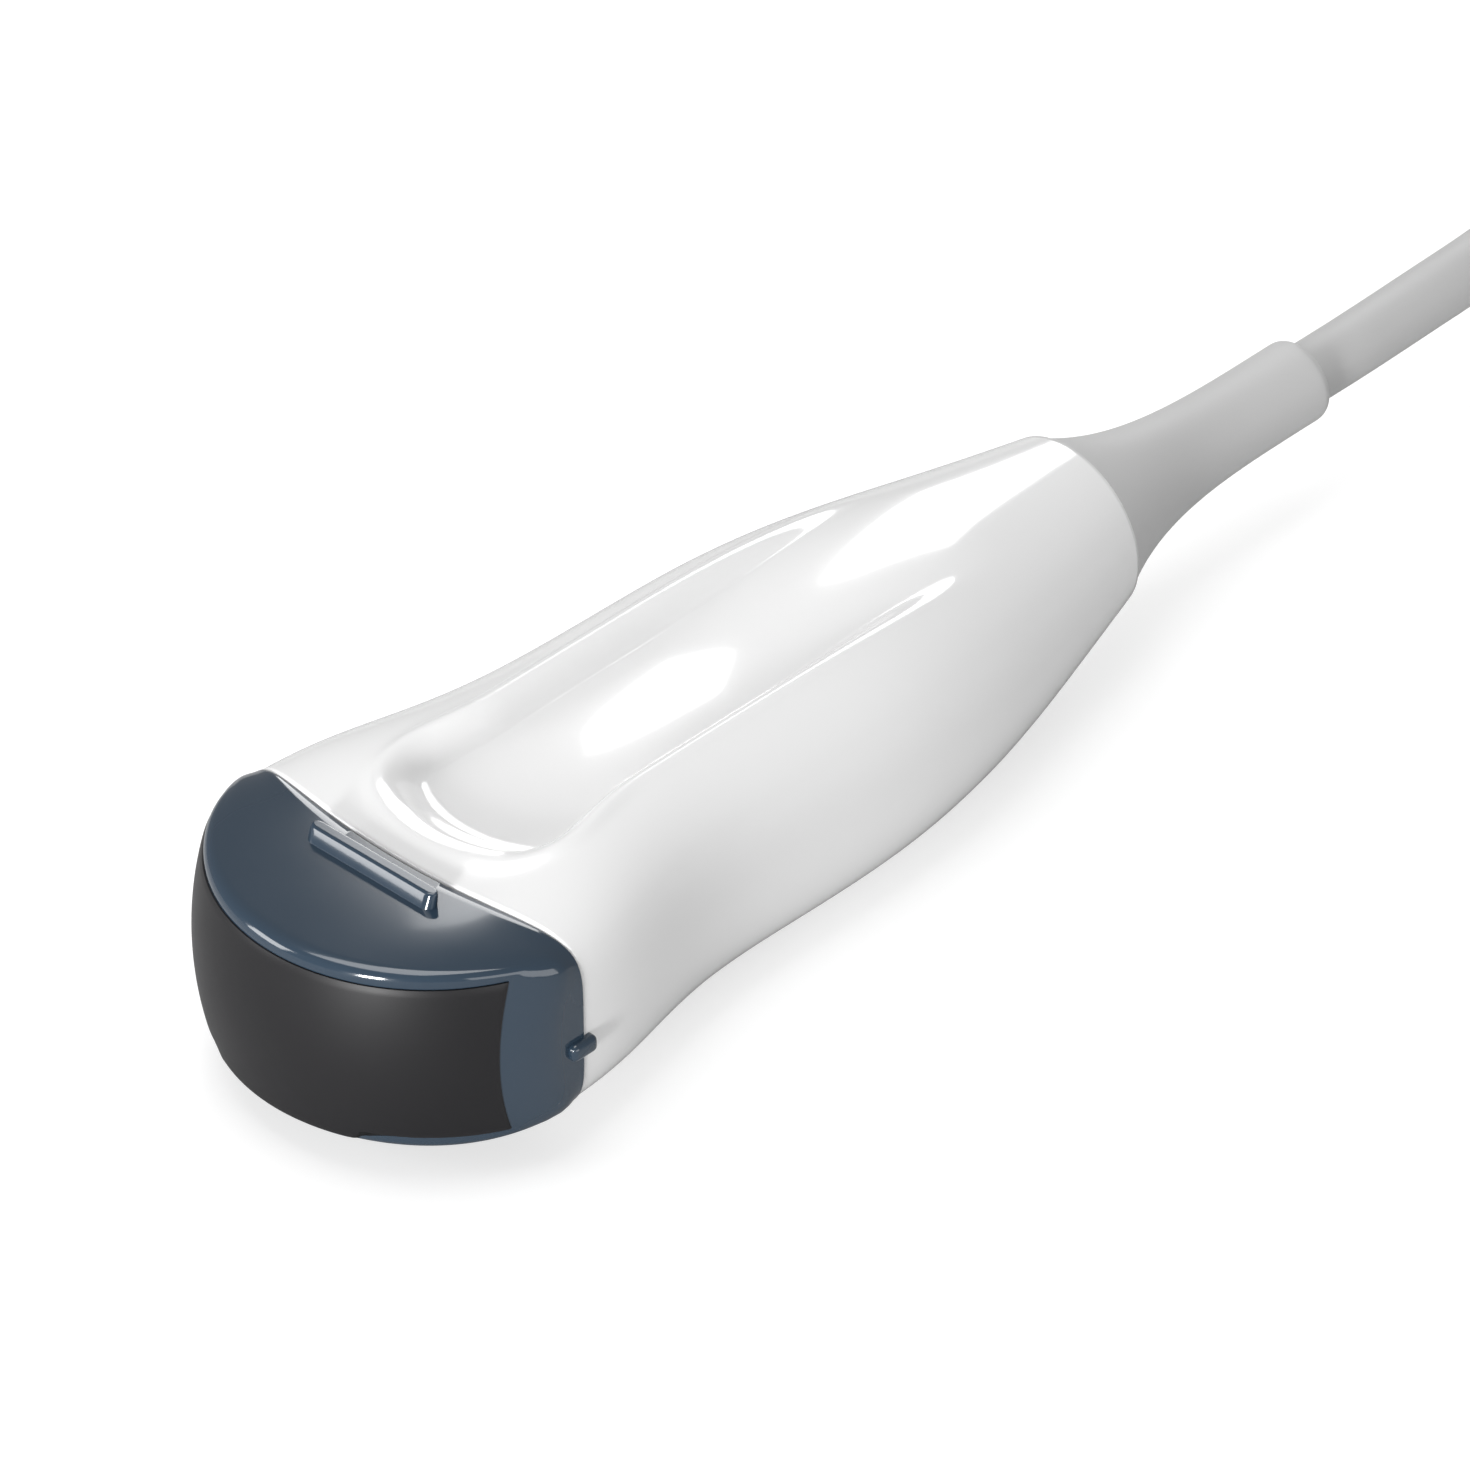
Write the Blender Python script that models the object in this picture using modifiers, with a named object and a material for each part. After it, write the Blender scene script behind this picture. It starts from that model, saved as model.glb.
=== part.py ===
"""Convex ultrasound transducer probe: head, handle, cable and system connector.

Metres, +Z up. The probe lies on its back with the thumb dish up. X runs across the head, -Y is the
way the lens faces and +Y is the way the cable leaves. Sizes below are in millimetres.
"""
import math

import bmesh
import bpy
from mathutils import Vector

MM = 0.001
GAP = 0.3                     # seat between touching pieces
EDGE_GAP = 0.35               # seat between curved faceted pieces

# Head
HEAD_THICK = 22.4
HEAD_SQUARE = 4.8             # how square the head's section is at the seam, 2 is an ellipse
FRONT_SQUARE = 8.0            # how square it is round the window
LENS_RADIUS = 24.0            # plan radius of the convex face
WINDOW_ANGLE = 63.0           # half angle of the lens at its corners, degrees
WINDOW_SIDE_LAND = 2.257      # from the window's corners to the head's sides
WINDOW_HALF_HEIGHT = 9.2
WINDOW_SIDE_BOW = 1.5         # how far the window's short sides curve inwards
LIP = 2.0                     # rounding round the window
SEAM_SIDE = 22.0              # seam between head and handle, at the head's sides
SEAM_BOW = 3.2                # how far the seam comes forward at the middle
NOSE_WALL = 1.8

# Acoustic stack, from the lens inwards
LENS_CROWN = 1.2
LENS_THICK = 1.4
OUTER_MATCH_THICK = 0.6
INNER_MATCH_THICK = 0.6
PIEZO_THICK = 0.8
STACK_GAP = 0.1               # bond line between the layers
BACKING_THICK = 6.0
ARRAY_END_MARGIN = 13.0       # the array stops this many degrees before the window's corners
ARRAY_HALF_HEIGHT = 6.0
PIEZO_GROUPS = 16             # sub-diced element groups
FLEX_THICK = 0.3
FLEX_HALF_WIDTH = 11.0

# What follows from the lens: the front's plan radius, where the lens's rounded rim ends, and the head
FRONT_RADIUS = LENS_RADIUS - 0.6 * LENS_CROWN
HEAD_WIDTH = 2.0 * (FRONT_RADIUS * math.sin(math.radians(WINDOW_ANGLE)) + WINDOW_SIDE_LAND)

# Handle: distance from the lens, half width, top, underside and squareness of each section
HANDLE_SECTIONS = [
    (30.0, 22.3, 12.3, -11.6, 3.8),
    (40.0, 19.6, 13.2, -12.6, 3.2),
    (50.0, 17.9, 13.6, -13.6, 2.9),
    (65.0, 17.3, 13.6, -14.4, 2.8),
    (78.0, 17.0, 13.4, -14.4, 2.7),
    (92.0, 15.2, 12.3, -12.9, 2.4),
    (104.0, 12.6, 10.9, -11.2, 2.1),
]
HANDLE_END = 115.0
TAIL_RADIUS = 9.8
HANDLE_WALL = 2.0
AXIS_HEIGHT = 14.53           # cable axis above the table

# Thumb dish
DISH_START = 24.0
DISH_END = 98.0
DISH_FRONT_HALF_WIDTH = 12.5
DISH_HALF_WIDTH = 9.6
DISH_DEPTH = 3.0
DISH_WALL = 2.6               # run of the dish's side wall
DISH_RIM = 0.45               # height of the soft rim round it

# Guide rail and side nubs
RAIL_LENGTH = 15.7
RAIL_DEPTH = 2.4
RAIL_HEIGHT = 2.6
RAIL_CHAMFER = 0.7
RAIL_TO_SEAM = 1.0            # between the rail's back and the seam at mid-width
NUB_LENGTH = 3.8
NUB_OVER_SEAM = 1.7           # how far a nub reaches over the seam
NUB_HEIGHT = 2.4
NUB_REACH = 1.0
NUB_ROUND = 0.3

# Cable and strain relief
CABLE_DIAMETER = 6.6
RELIEF_LENGTH = 34.0
RELIEF_END_RADIUS = 4.5
RELIEF_ROUND = 1.2
RELIEF_COLLAR_LENGTH = 6.0
RELIEF_FLARE = 3.6            # how quickly the trumpet narrows
JACKET_START = 101.0

# Inside the handle
FRAME_WIDTH = 22.0
FRAME_THICK = 2.0
BOARD_WIDTH = 20.0
BOARD_LENGTH = 38.0
BOARD_THICK = 1.0
BOARD_START = 42.0
BOARD_STANDOFF = 1.2
PLUG_WIDTH = 14.0
PLUG_DEPTH = 3.6
PLUG_HEIGHT = 1.6
CHIP_SIZE = 6.0
CHIP_HEIGHT = 1.0
SCREW_RADIUS = 1.0
SCREW_HEAD_RADIUS = 1.7
SCREW_HEAD_HEIGHT = 0.9
CLAMP_LENGTH = 5.0
CLAMP_WALL = 1.6
CRIMP_LENGTH = 5.0
CRIMP_WALL = 0.8
BUNDLE_RADIUS = 2.3

# Hank of the stored cable, folded to and fro in line with the probe
HANK_MIDDLE = 5.8             # across, from the probe's axis to the hank's
HANK_START = 227.0            # middle of the near folds, from the lens
HANK_RUN = 54.0               # straight part of each run
HANK_FOLD_RADIUS = 19.8       # of the inner turns, three cable diameters
HANK_TURNS_ACROSS = 2
HANK_LAYERS = 4
HANK_LAYER_RISE = 6.27        # a layer settles a little into the one below
HANK_SLACK = 0.1
HANK_WAIST = 1.6              # how far the tie draws the runs in on each side
WAIST_FLAT = 7.0
WAIST_REACH = 25.0
TIE_WIDTH = 12.0
TIE_THICK = 1.2
FOLD_FACETS = 16

# System connector
CONNECTOR_MIDDLE = 1.2       # across, from the probe's axis
CONNECTOR_AWAY = 60.0         # from the middle of the hank's far folds to the connector's boot
BOOT_LENGTH = 10.0
BOOT_WALL = 1.4
BOOT_FLARE = 1.2
BODY_WIDTH = 50.0
BODY_LENGTH = 45.0
BODY_HEIGHT = 26.0
BODY_WALL = 2.0
BODY_ROUND = 3.0
SOCKET_WIDTH = 36.0
SOCKET_HEIGHT = 16.0
SOCKET_DEPTH = 9.0
CONTACT_BLOCK_DEPTH = 6.0
COLLAR_WALL = 1.4
COLLAR_PROUD = 3.0            # how far the collar stands out of the body
COLLAR_ROUND = 0.4
BOARD_BACK_SPACE = 11.0       # behind the connector's board, for its wires
WIRE_ENTRY = 1.7              # the stripped wires start this far outside the body
PIN_COLUMNS = 13
PIN_ROWS = 5
PIN_PITCH = 2.3
PIN_RADIUS = 0.35

AROUND_SIDE = 4               # facets on a quarter's side part
AROUND_TOP = 9                # facets on a quarter's top part


def probe_length():
    return HANDLE_END + RELIEF_LENGTH


def place(x, s, z):
    """A point from the probe's own measure (s from the lens, z from the axis) to world metres."""
    return Vector((x * MM, (s - probe_length() / 2.0) * MM, (z + AXIS_HEIGHT) * MM))


# Scene, materials and objects
for old in list(bpy.data.objects):
    bpy.data.objects.remove(old, do_unlink=True)
parts = bpy.data.collections.new("ultrasound_probe")
bpy.context.scene.collection.children.link(parts)
cutters = bpy.data.collections.new("cutters")
bpy.context.scene.collection.children.link(cutters)

SHELL_WHITE = (0.80, 0.81, 0.82)
NOSE_NAVY = (0.050, 0.078, 0.115)
LENS_CHARCOAL = (0.018, 0.018, 0.022)
CABLE_GREY = (0.46, 0.47, 0.48)
CONNECTOR_GREY = (0.60, 0.61, 0.62)
DARK_GREY = (0.06, 0.06, 0.065)
COPPER = (0.72, 0.35, 0.18)
GOLD = (0.85, 0.62, 0.25)
STEEL = (0.62, 0.62, 0.64)
AMBER = (0.55, 0.25, 0.05)
BOARD_GREEN = (0.02, 0.16, 0.07)
CERAMIC = (0.70, 0.66, 0.55)
EPOXY = (0.12, 0.11, 0.16)
RESIN = (0.50, 0.42, 0.30)


def material(name, colour, roughness, metallic=0.0):
    made = bpy.data.materials.new(name)
    made.use_nodes = True
    shader = made.node_tree.nodes["Principled BSDF"]
    shader.inputs["Base Color"].default_value = (*colour, 1.0)
    shader.inputs["Roughness"].default_value = roughness
    shader.inputs["Metallic"].default_value = metallic
    return made


def finish(obj, colour, roughness, metallic=0.0, smooth=True):
    obj.data.materials.append(material(obj.name, colour, roughness, metallic))
    if smooth and obj.type == "MESH":
        obj.data.shade_smooth()
        obj.data.set_sharp_from_angle(angle=math.radians(35.0))
    return obj


def add_object(name, data, collection=parts):
    obj = bpy.data.objects.new(name, data)
    collection.objects.link(obj)
    return obj


def mesh_object(name, bm, collection=parts, outward=True):
    if outward:
        bmesh.ops.recalc_face_normals(bm, faces=bm.faces)
    mesh = bpy.data.meshes.new(name)
    bm.to_mesh(mesh)
    bm.free()
    return add_object(name, mesh, collection)


def grid_surface(name, rows, closed_rows):
    """A surface through rows of points, each row running round the piece or across it."""
    bm = bmesh.new()
    lines = [[bm.verts.new(point) for point in row] for row in rows]
    count = len(rows[0])
    steps = count if closed_rows else count - 1
    for low, high in zip(lines[:-1], lines[1:]):
        for i in range(steps):
            j = (i + 1) % count
            bm.faces.new((low[i], high[i], high[j], low[j]))
    return mesh_object(name, bm, outward=False)


def solidify(obj, thickness, offset=-1.0):
    wall = obj.modifiers.new("wall", "SOLIDIFY")
    wall.thickness = thickness * MM
    wall.offset = offset
    wall.use_even_offset = True
    return obj


def box_object(name, low, high, bevel=0.0, collection=parts, segments=2):
    """A box between two corners in world metres."""
    bm = bmesh.new()
    bmesh.ops.create_cube(bm, size=1.0)
    size = high - low
    middle = (low + high) / 2.0
    for vert in bm.verts:
        vert.co = Vector((vert.co.x * size.x, vert.co.y * size.y, vert.co.z * size.z))
    obj = mesh_object(name, bm, collection)
    obj.location = middle
    if bevel:
        edge = obj.modifiers.new("edges", "BEVEL")
        edge.width = bevel * MM
        edge.segments = segments
        edge.limit_method = "ANGLE"
    return obj


def probe_box(name, x, s, z, bevel=0.0, collection=parts, segments=2):
    """A box from ranges in the probe's own measure."""
    return box_object(name, place(x[0], s[0], z[0]), place(x[1], s[1], z[1]), bevel, collection, segments)


def turned(name, profile, steps, origin=(0.0, 0.0, 0.0), along_y=True):
    """A closed profile of (radius, distance) pairs turned round its axis, outer side top to bottom."""
    around = zip(profile, profile[1:] + profile[:1])
    if sum(r1 * z2 - r2 * z1 for (r1, z1), (r2, z2) in around) > 0.0:
        profile = profile[::-1]
    bm = bmesh.new()
    points = [bm.verts.new((radius * MM, 0.0, distance * MM)) for radius, distance in profile]
    for i, point in enumerate(points):
        bm.edges.new((point, points[(i + 1) % len(points)]))
    mesh = bpy.data.meshes.new(name)
    bm.to_mesh(mesh)
    bm.free()
    obj = add_object(name, mesh)
    turn = obj.modifiers.new("turn", "SCREW")
    turn.axis = "Z"
    turn.steps = steps
    turn.render_steps = steps
    turn.use_merge_vertices = True
    turn.merge_threshold = 0.00001
    obj.location = origin
    if along_y:
        obj.rotation_euler = (-math.pi / 2.0, 0.0, 0.0)
    return obj


def as_mesh(obj):
    """The object with its modifiers applied, welded, in world space."""
    bpy.context.view_layer.update()
    graph = bpy.context.evaluated_depsgraph_get()
    mesh = bpy.data.meshes.new_from_object(obj.evaluated_get(graph))
    mesh.transform(obj.matrix_world)
    bm = bmesh.new()
    bm.from_mesh(mesh)
    bmesh.ops.remove_doubles(bm, verts=bm.verts, dist=0.000002)
    bmesh.ops.recalc_face_normals(bm, faces=bm.faces)
    bm.to_mesh(mesh)
    bm.free()
    name = obj.name
    collection = obj.users_collection[0]
    bpy.data.objects.remove(obj, do_unlink=True)
    return add_object(name, mesh, collection)


def boolean(obj, other, operation="DIFFERENCE"):
    """Cut or join with a guide object, which stays as a hidden wire."""
    change = obj.modifiers.new(operation.lower(), "BOOLEAN")
    change.operation = operation
    change.solver = "EXACT"
    change.object = other
    other.hide_render = True
    other.display_type = "WIRE"
    return obj


def cylinder(name, radius, low, high, axis, segments=12, collection=parts):
    """A round bar between two world points that differ along one axis, x, y or z."""
    bm = bmesh.new()
    length = (high - low).length
    bmesh.ops.create_cone(bm, cap_ends=True, segments=segments, radius1=radius * MM,
                          radius2=radius * MM, depth=length)
    obj = mesh_object(name, bm, collection)
    obj.location = (low + high) / 2.0
    obj.rotation_euler = {"x": (0.0, math.pi / 2.0, 0.0), "y": (math.pi / 2.0, 0.0, 0.0),
                          "z": (0.0, 0.0, 0.0)}[axis]
    return obj


# Sections
def quarter(half_width, half_height, square):
    """A quarter of a superellipse, from the side's middle to the top's middle, evenly spaced."""
    def point(angle):
        power = 2.0 / square
        return (half_width * math.cos(angle) ** power, half_height * math.sin(angle) ** power)

    def spread(start, end, count):
        fine = [point(start + (end - start) * i / 200.0) for i in range(201)]
        run = [0.0]
        for a, b in zip(fine[:-1], fine[1:]):
            run.append(run[-1] + math.dist(a, b))
        found = []
        k = 0
        for i in range(count):
            target = run[-1] * i / count
            while run[k + 1] < target:
                k += 1
            part = (target - run[k]) / (run[k + 1] - run[k])
            found.append(tuple(u + (v - u) * part for u, v in zip(fine[k], fine[k + 1])))
        return found

    corner = math.pi / 4.0
    return spread(0.0, corner, AROUND_SIDE) + spread(corner, math.pi / 2.0, AROUND_TOP)


def ring(half_width, top, bottom, square):
    """A closed section as (x, z) points, from +X over the top to -X and back underneath."""
    upper = quarter(half_width, top, square) + [(0.0, top)]
    lower = quarter(half_width, -bottom, square) + [(0.0, -bottom)]
    points = upper + [(-x, z) for x, z in reversed(upper[:-1])]
    points += [(-x, -z) for x, z in lower[1:]]
    points += [(x, -z) for x, z in reversed(lower[1:-1])]
    return points


def seam_at(x):
    """Where the head's shell ends and the handle's begins, further forward at mid-width."""
    across = min(1.0, abs(x) / (HEAD_WIDTH / 2.0))
    return SEAM_SIDE - SEAM_BOW * (1.0 - across ** 2)


def smooth_table(table, s):
    """A row of the handle's table at distance s, through a smooth curve."""
    last = len(table) - 1
    k = max(i for i in range(last) if table[i][0] <= s or i == 0)
    rows = [table[max(k - 1, 0)], table[k], table[k + 1], table[min(k + 2, last)]]
    span = rows[2][0] - rows[1][0]
    t = (s - rows[1][0]) / span

    def slope(before, after, column):
        return (after[column] - before[column]) / max(after[0] - before[0], 1e-6) * span

    result = []
    for column in range(1, 5):
        p1, p2 = rows[1][column], rows[2][column]
        m1, m2 = slope(rows[0], rows[2], column), slope(rows[1], rows[3], column)
        result.append(p1 * (2 * t ** 3 - 3 * t ** 2 + 1) + m1 * (t ** 3 - 2 * t ** 2 + t)
                      + p2 * (3 * t ** 2 - 2 * t ** 3) + m2 * (t ** 3 - t ** 2))
    return result


def handle_table():
    head = (SEAM_SIDE, HEAD_WIDTH / 2.0, HEAD_THICK / 2.0, -HEAD_THICK / 2.0, HEAD_SQUARE)
    nose = (SEAM_SIDE - SEAM_BOW,) + head[1:]
    tail = (HANDLE_END, TAIL_RADIUS, TAIL_RADIUS, -TAIL_RADIUS, 2.0)
    return [nose, head] + HANDLE_SECTIONS + [tail]


def ease(t):
    t = min(1.0, max(0.0, t))
    return t * t * (3.0 - 2.0 * t)


def dish_drop(x, s):
    """How far the thumb dish lowers the top surface at (x, s), negative on its raised rim."""
    narrow = ease((s - DISH_START) / 20.0)
    half = DISH_FRONT_HALF_WIDTH + (DISH_HALF_WIDTH - DISH_FRONT_HALF_WIDTH) * narrow
    front = DISH_START + 5.0 * (x / half) ** 2
    fade = 1.0 - ease((s - (DISH_START + DISH_END) / 2.0) / ((DISH_END - DISH_START) / 2.0))
    edge = min(half - abs(x), s - front)
    drop = DISH_DEPTH * ease(edge / DISH_WALL) * fade
    rim = DISH_RIM * math.exp(-((edge + DISH_WALL * 0.35) / (DISH_WALL * 0.45)) ** 2)
    return drop - rim * fade * ease((s - SEAM_SIDE + SEAM_BOW) / 3.0)


def shell_rows(stations, start_gap):
    """Rows of points round the handle, the first along the seam with the head."""
    table = handle_table()
    rows = []
    for part in stations:
        centre_s = SEAM_SIDE + (HANDLE_END - SEAM_SIDE) * part
        row = []
        for x0, z0 in ring(*smooth_table(table, centre_s)):
            begin = seam_at(x0) + start_gap
            s = begin + (HANDLE_END - begin) * part
            row.append((x0, z0, s))
        shaped = []
        for (x0, z0, s) in row:
            drop = dish_drop(x0, s) if z0 > 0.0 else 0.0
            top = max(1.0, smooth_table(table, max(s, table[0][0]))[1])
            weight = ease(z0 / top * 1.6)
            shaped.append(place(x0, s, z0 - drop * weight))
        rows.append(shaped)
    return rows


# Head
def window_ring(radius):
    """The lens window's outline on an arc of the given radius, point for point like ring()."""
    def side_angle(z):
        bow = WINDOW_SIDE_BOW / LENS_RADIUS * (1.0 - (z / WINDOW_HALF_HEIGHT) ** 2)
        return math.radians(WINDOW_ANGLE) - bow

    corner = side_angle(WINDOW_HALF_HEIGHT)
    heights = [WINDOW_HALF_HEIGHT * i / AROUND_SIDE for i in range(AROUND_SIDE)]
    upper = [(side_angle(z), z) for z in heights]
    upper += [(corner * (1.0 - i / AROUND_TOP), WINDOW_HALF_HEIGHT) for i in range(AROUND_TOP + 1)]
    outline = upper + [(-angle, z) for angle, z in reversed(upper[:-1])]
    outline += [(-angle, -z) for angle, z in upper[1:]]
    outline += [(angle, -z) for angle, z in reversed(upper[1:-1])]
    return [(radius * math.sin(angle), z, LENS_RADIUS - radius * math.cos(angle), angle)
            for angle, z in outline]


def nose_columns(window_radius, inset):
    """Lines from the window back to the seam, on the outside or inset by the wall."""
    half_height = HEAD_THICK / 2.0 - inset
    half_width = HEAD_WIDTH / 2.0 - inset
    section = ring(half_width, half_height, -half_height, FRONT_SQUARE)
    rear = ring(half_width, half_height, -half_height, HEAD_SQUARE)
    window = window_ring(window_radius)
    lip = max(0.3, LIP - inset)
    columns = []
    for (x0, z0), (x1, z1), (xw, zw, sw, angle) in zip(section, rear, window):
        start = Vector((xw, zw, sw))
        corner = Vector((x0, z0, sw + (abs(x0) - abs(xw)) * math.tan(abs(angle))))
        land = start.lerp(corner, 0.12)
        back = Vector((x0, z0, corner.z + lip))
        column = [start]
        for k in range(6):
            t = k / 5.0
            column.append(land * (1.0 - t) ** 2 + corner * 2.0 * t * (1.0 - t) + back * t * t)
        seam = Vector((x1, z1, seam_at(x1)))
        column += [back.lerp(seam, k / 3.0) for k in range(1, 4)]
        columns.append(column)
    return columns


def make_nosepiece():
    """One moulding: window lip, rounded front, straight sides, guide rail and two side nubs."""
    columns = []
    inner_radius = FRONT_RADIUS - NOSE_WALL
    for outside, inside in zip(nose_columns(FRONT_RADIUS, 0.0), nose_columns(inner_radius, NOSE_WALL)):
        columns.append([place(p.x, p.z, p.y) for p in outside + inside[::-1]])
    rows = [list(row) for row in zip(*columns)]
    nose = grid_surface("nosepiece", rows + rows[:1], closed_rows=True)
    nose = as_mesh(nose)
    top = HEAD_THICK / 2.0
    rail_s = SEAM_SIDE - SEAM_BOW - RAIL_DEPTH - RAIL_TO_SEAM
    rail = probe_box("rail_guide", (-RAIL_LENGTH / 2.0, RAIL_LENGTH / 2.0), (rail_s, rail_s + RAIL_DEPTH),
                     (top - NOSE_WALL / 2.0, top + RAIL_HEIGHT), RAIL_CHAMFER, cutters)
    boolean(nose, rail, "UNION")
    side_face = HEAD_WIDTH / 2.0
    nub_start = SEAM_SIDE + NUB_OVER_SEAM - NUB_LENGTH
    height = (-NUB_HEIGHT / 2.0, NUB_HEIGHT / 2.0)
    for label, side in (("left", -1.0), ("right", 1.0)):
        root = probe_box(f"nub_root_guide_{label}", sorted((side * (side_face - NOSE_WALL / 2.0),
                                                            side * (side_face + NUB_REACH - NUB_ROUND))),
                         (nub_start + NUB_ROUND, SEAM_SIDE - GAP), height, collection=cutters)
        boolean(nose, root, "UNION")
        cap = probe_box(f"nub_cap_guide_{label}", sorted((side * (side_face + EDGE_GAP),
                                                          side * (side_face + NUB_REACH))),
                        (nub_start, nub_start + NUB_LENGTH), height, NUB_ROUND, cutters, segments=1)
        boolean(nose, cap, "UNION")
    return finish(nose, NOSE_NAVY, 0.25)


def arc_solid(name, outer, inner, half_angle, levels, segments, flat_back=None):
    """A curved slab: radii may follow the height, and the back may be flat at a distance."""
    bm = bmesh.new()
    loops = []
    for z in levels:
        angle = half_angle(z)
        front = []
        back = []
        for k in range(segments + 1):
            a = angle * (1.0 - 2.0 * k / segments)
            front.append(place(outer(z) * math.sin(a), LENS_RADIUS - outer(z) * math.cos(a), z))
            back.append(place(inner * math.sin(a), LENS_RADIUS - inner * math.cos(a), z))
        if flat_back is not None:
            reach = outer(z) * math.sin(angle)
            back = [place(reach, flat_back, z), place(-reach, flat_back, z)]
        loops.append([bm.verts.new(p) for p in front + back[::-1]])
    for low, high in zip(loops[:-1], loops[1:]):
        for i in range(len(low)):
            j = (i + 1) % len(low)
            bm.faces.new((low[i], low[j], high[j], high[i]))
    bm.faces.new(loops[0])
    bm.faces.new(loops[-1])
    return mesh_object(name, bm)


def make_acoustic_stack():
    height = WINDOW_HALF_HEIGHT - EDGE_GAP
    reach = math.radians(WINDOW_ANGLE) - EDGE_GAP / LENS_RADIUS

    def lens_angle(z):
        return reach - WINDOW_SIDE_BOW / LENS_RADIUS * (1.0 - (z / height) ** 2)

    radius = LENS_RADIUS - LENS_CROWN - LENS_THICK
    lens = arc_solid("acoustic_lens", lambda z: LENS_RADIUS - LENS_CROWN * (z / height) ** 2, radius,
                     lens_angle, [height * (k / 4.0 - 1.0) for k in range(9)], 28)
    finish(lens, LENS_CHARCOAL, 0.45)
    array_angle = math.radians(WINDOW_ANGLE - ARRAY_END_MARGIN)
    layers = [("outer_matching_layer", OUTER_MATCH_THICK, CERAMIC),
              ("inner_matching_layer", INNER_MATCH_THICK, RESIN)]
    levels = [-ARRAY_HALF_HEIGHT, ARRAY_HALF_HEIGHT]
    for name, thick, colour in layers:
        outer = radius - STACK_GAP
        radius = outer - thick
        layer = arc_solid(name, lambda z, r=outer: r, radius, lambda z: array_angle, levels, 20)
        finish(layer, colour, 0.5)
    outer = radius - STACK_GAP
    radius = outer - PIEZO_THICK
    array = arc_solid("piezo_array", lambda z: outer, radius, lambda z: array_angle, levels, 2 * PIEZO_GROUPS)
    finish(array, CERAMIC, 0.4)
    front = radius - STACK_GAP
    edge = LENS_RADIUS - front * math.cos(array_angle)
    backing = arc_solid("backing_block", lambda z: front, 0.0, lambda z: array_angle, levels, 20,
                        edge + BACKING_THICK)
    finish(backing, EPOXY, 0.7)
    return edge


def make_flex_circuits(edge):
    """A folded film on each side of the stack, from the array back to its board's plug."""
    board_face = FRAME_THICK / 2.0 + BOARD_STANDOFF + BOARD_THICK + GAP
    end_z = board_face + PLUG_HEIGHT / 2.0
    start_z = ARRAY_HALF_HEIGHT + GAP + FLEX_THICK
    end_s = BOARD_START - GAP
    for name, side in (("flex_circuit_top", 1.0), ("flex_circuit_bottom", -1.0)):
        rows = []
        for k in range(11):
            t = k / 10.0
            s = edge + (end_s - edge) * t
            z = start_z + (end_z - start_z) * ease((t - 0.25) / 0.6)
            half = FLEX_HALF_WIDTH + (PLUG_WIDTH / 2.0 - 1.0 - FLEX_HALF_WIDTH) * ease((t - 0.2) / 0.5)
            rows.append([place(x, s, side * z) for x in (half, -half)])
        film = solidify(grid_surface(name, rows, closed_rows=False), FLEX_THICK, 0.0)
        finish(film, AMBER, 0.35, smooth=False)


# Handle
def make_handle():
    """One white shell, open at both ends, with the thumb dish pressed into its top."""
    stations = [0.0, 0.02, 0.045, 0.07, 0.1, 0.14, 0.19, 0.25, 0.31, 0.38, 0.45, 0.52, 0.59, 0.66, 0.72,
                0.78, 0.84, 0.89, 0.94, 0.97, 1.0]
    shell = solidify(grid_surface("handle_shell", shell_rows(stations, GAP), closed_rows=True), HANDLE_WALL)
    return finish(shell, SHELL_WHITE, 0.2)


def inner_half_width(s):
    """Free half width inside the handle at mid-height."""
    return smooth_table(handle_table(), s)[0] - HANDLE_WALL


def make_frame(frame_front):
    """Chassis plate: boards on bosses, ears that seat on the shell, a fork behind for the wires."""
    half = FRAME_WIDTH / 2.0
    thick = FRAME_THICK / 2.0
    plate_end = BOARD_START + BOARD_LENGTH + 2.0
    frame = probe_box("inner_frame", (-half, half), (BOARD_START - 2.0, plate_end), (-thick, thick))
    tongue_end = BOARD_START - 1.0
    tongue = probe_box("tongue_guide", (-PLUG_WIDTH / 2.0, PLUG_WIDTH / 2.0), (frame_front, tongue_end),
                       (-thick, thick), collection=cutters)
    boolean(frame, tongue, "UNION")
    ear_s = BOARD_START + BOARD_LENGTH * 0.6
    reach = inner_half_width(ear_s) - EDGE_GAP
    for side in (-1.0, 1.0):
        label = "left" if side < 0 else "right"
        ear = probe_box(f"ear_guide_{label}", sorted((side * (half - 1.0), side * reach)),
                        (ear_s - 4.0, ear_s + 4.0), (-thick, thick), collection=cutters)
        boolean(frame, ear, "UNION")
        arm = probe_box(f"arm_guide_{label}", sorted((side * (CABLE_DIAMETER / 2.0 + 1.2), side * 7.0)),
                        (plate_end - 1.0, JACKET_START - 2.0 * GAP), (-thick, thick), collection=cutters)
        boolean(frame, arm, "UNION")
    boss_height = thick + BOARD_STANDOFF - GAP
    for k, (x, s) in enumerate(screw_places()):
        boss = cylinder(f"boss_guide_{k}", SCREW_RADIUS + 1.1, place(x, s, -boss_height),
                        place(x, s, boss_height), "z", collection=cutters)
        boolean(frame, boss, "UNION")
        hole = cylinder(f"screw_hole_guide_{k}", SCREW_RADIUS + EDGE_GAP, place(x, s, -boss_height - 1.0),
                        place(x, s, boss_height + 1.0), "z", collection=cutters)
        boolean(frame, hole)
    return finish(frame, DARK_GREY, 0.6)


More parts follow.
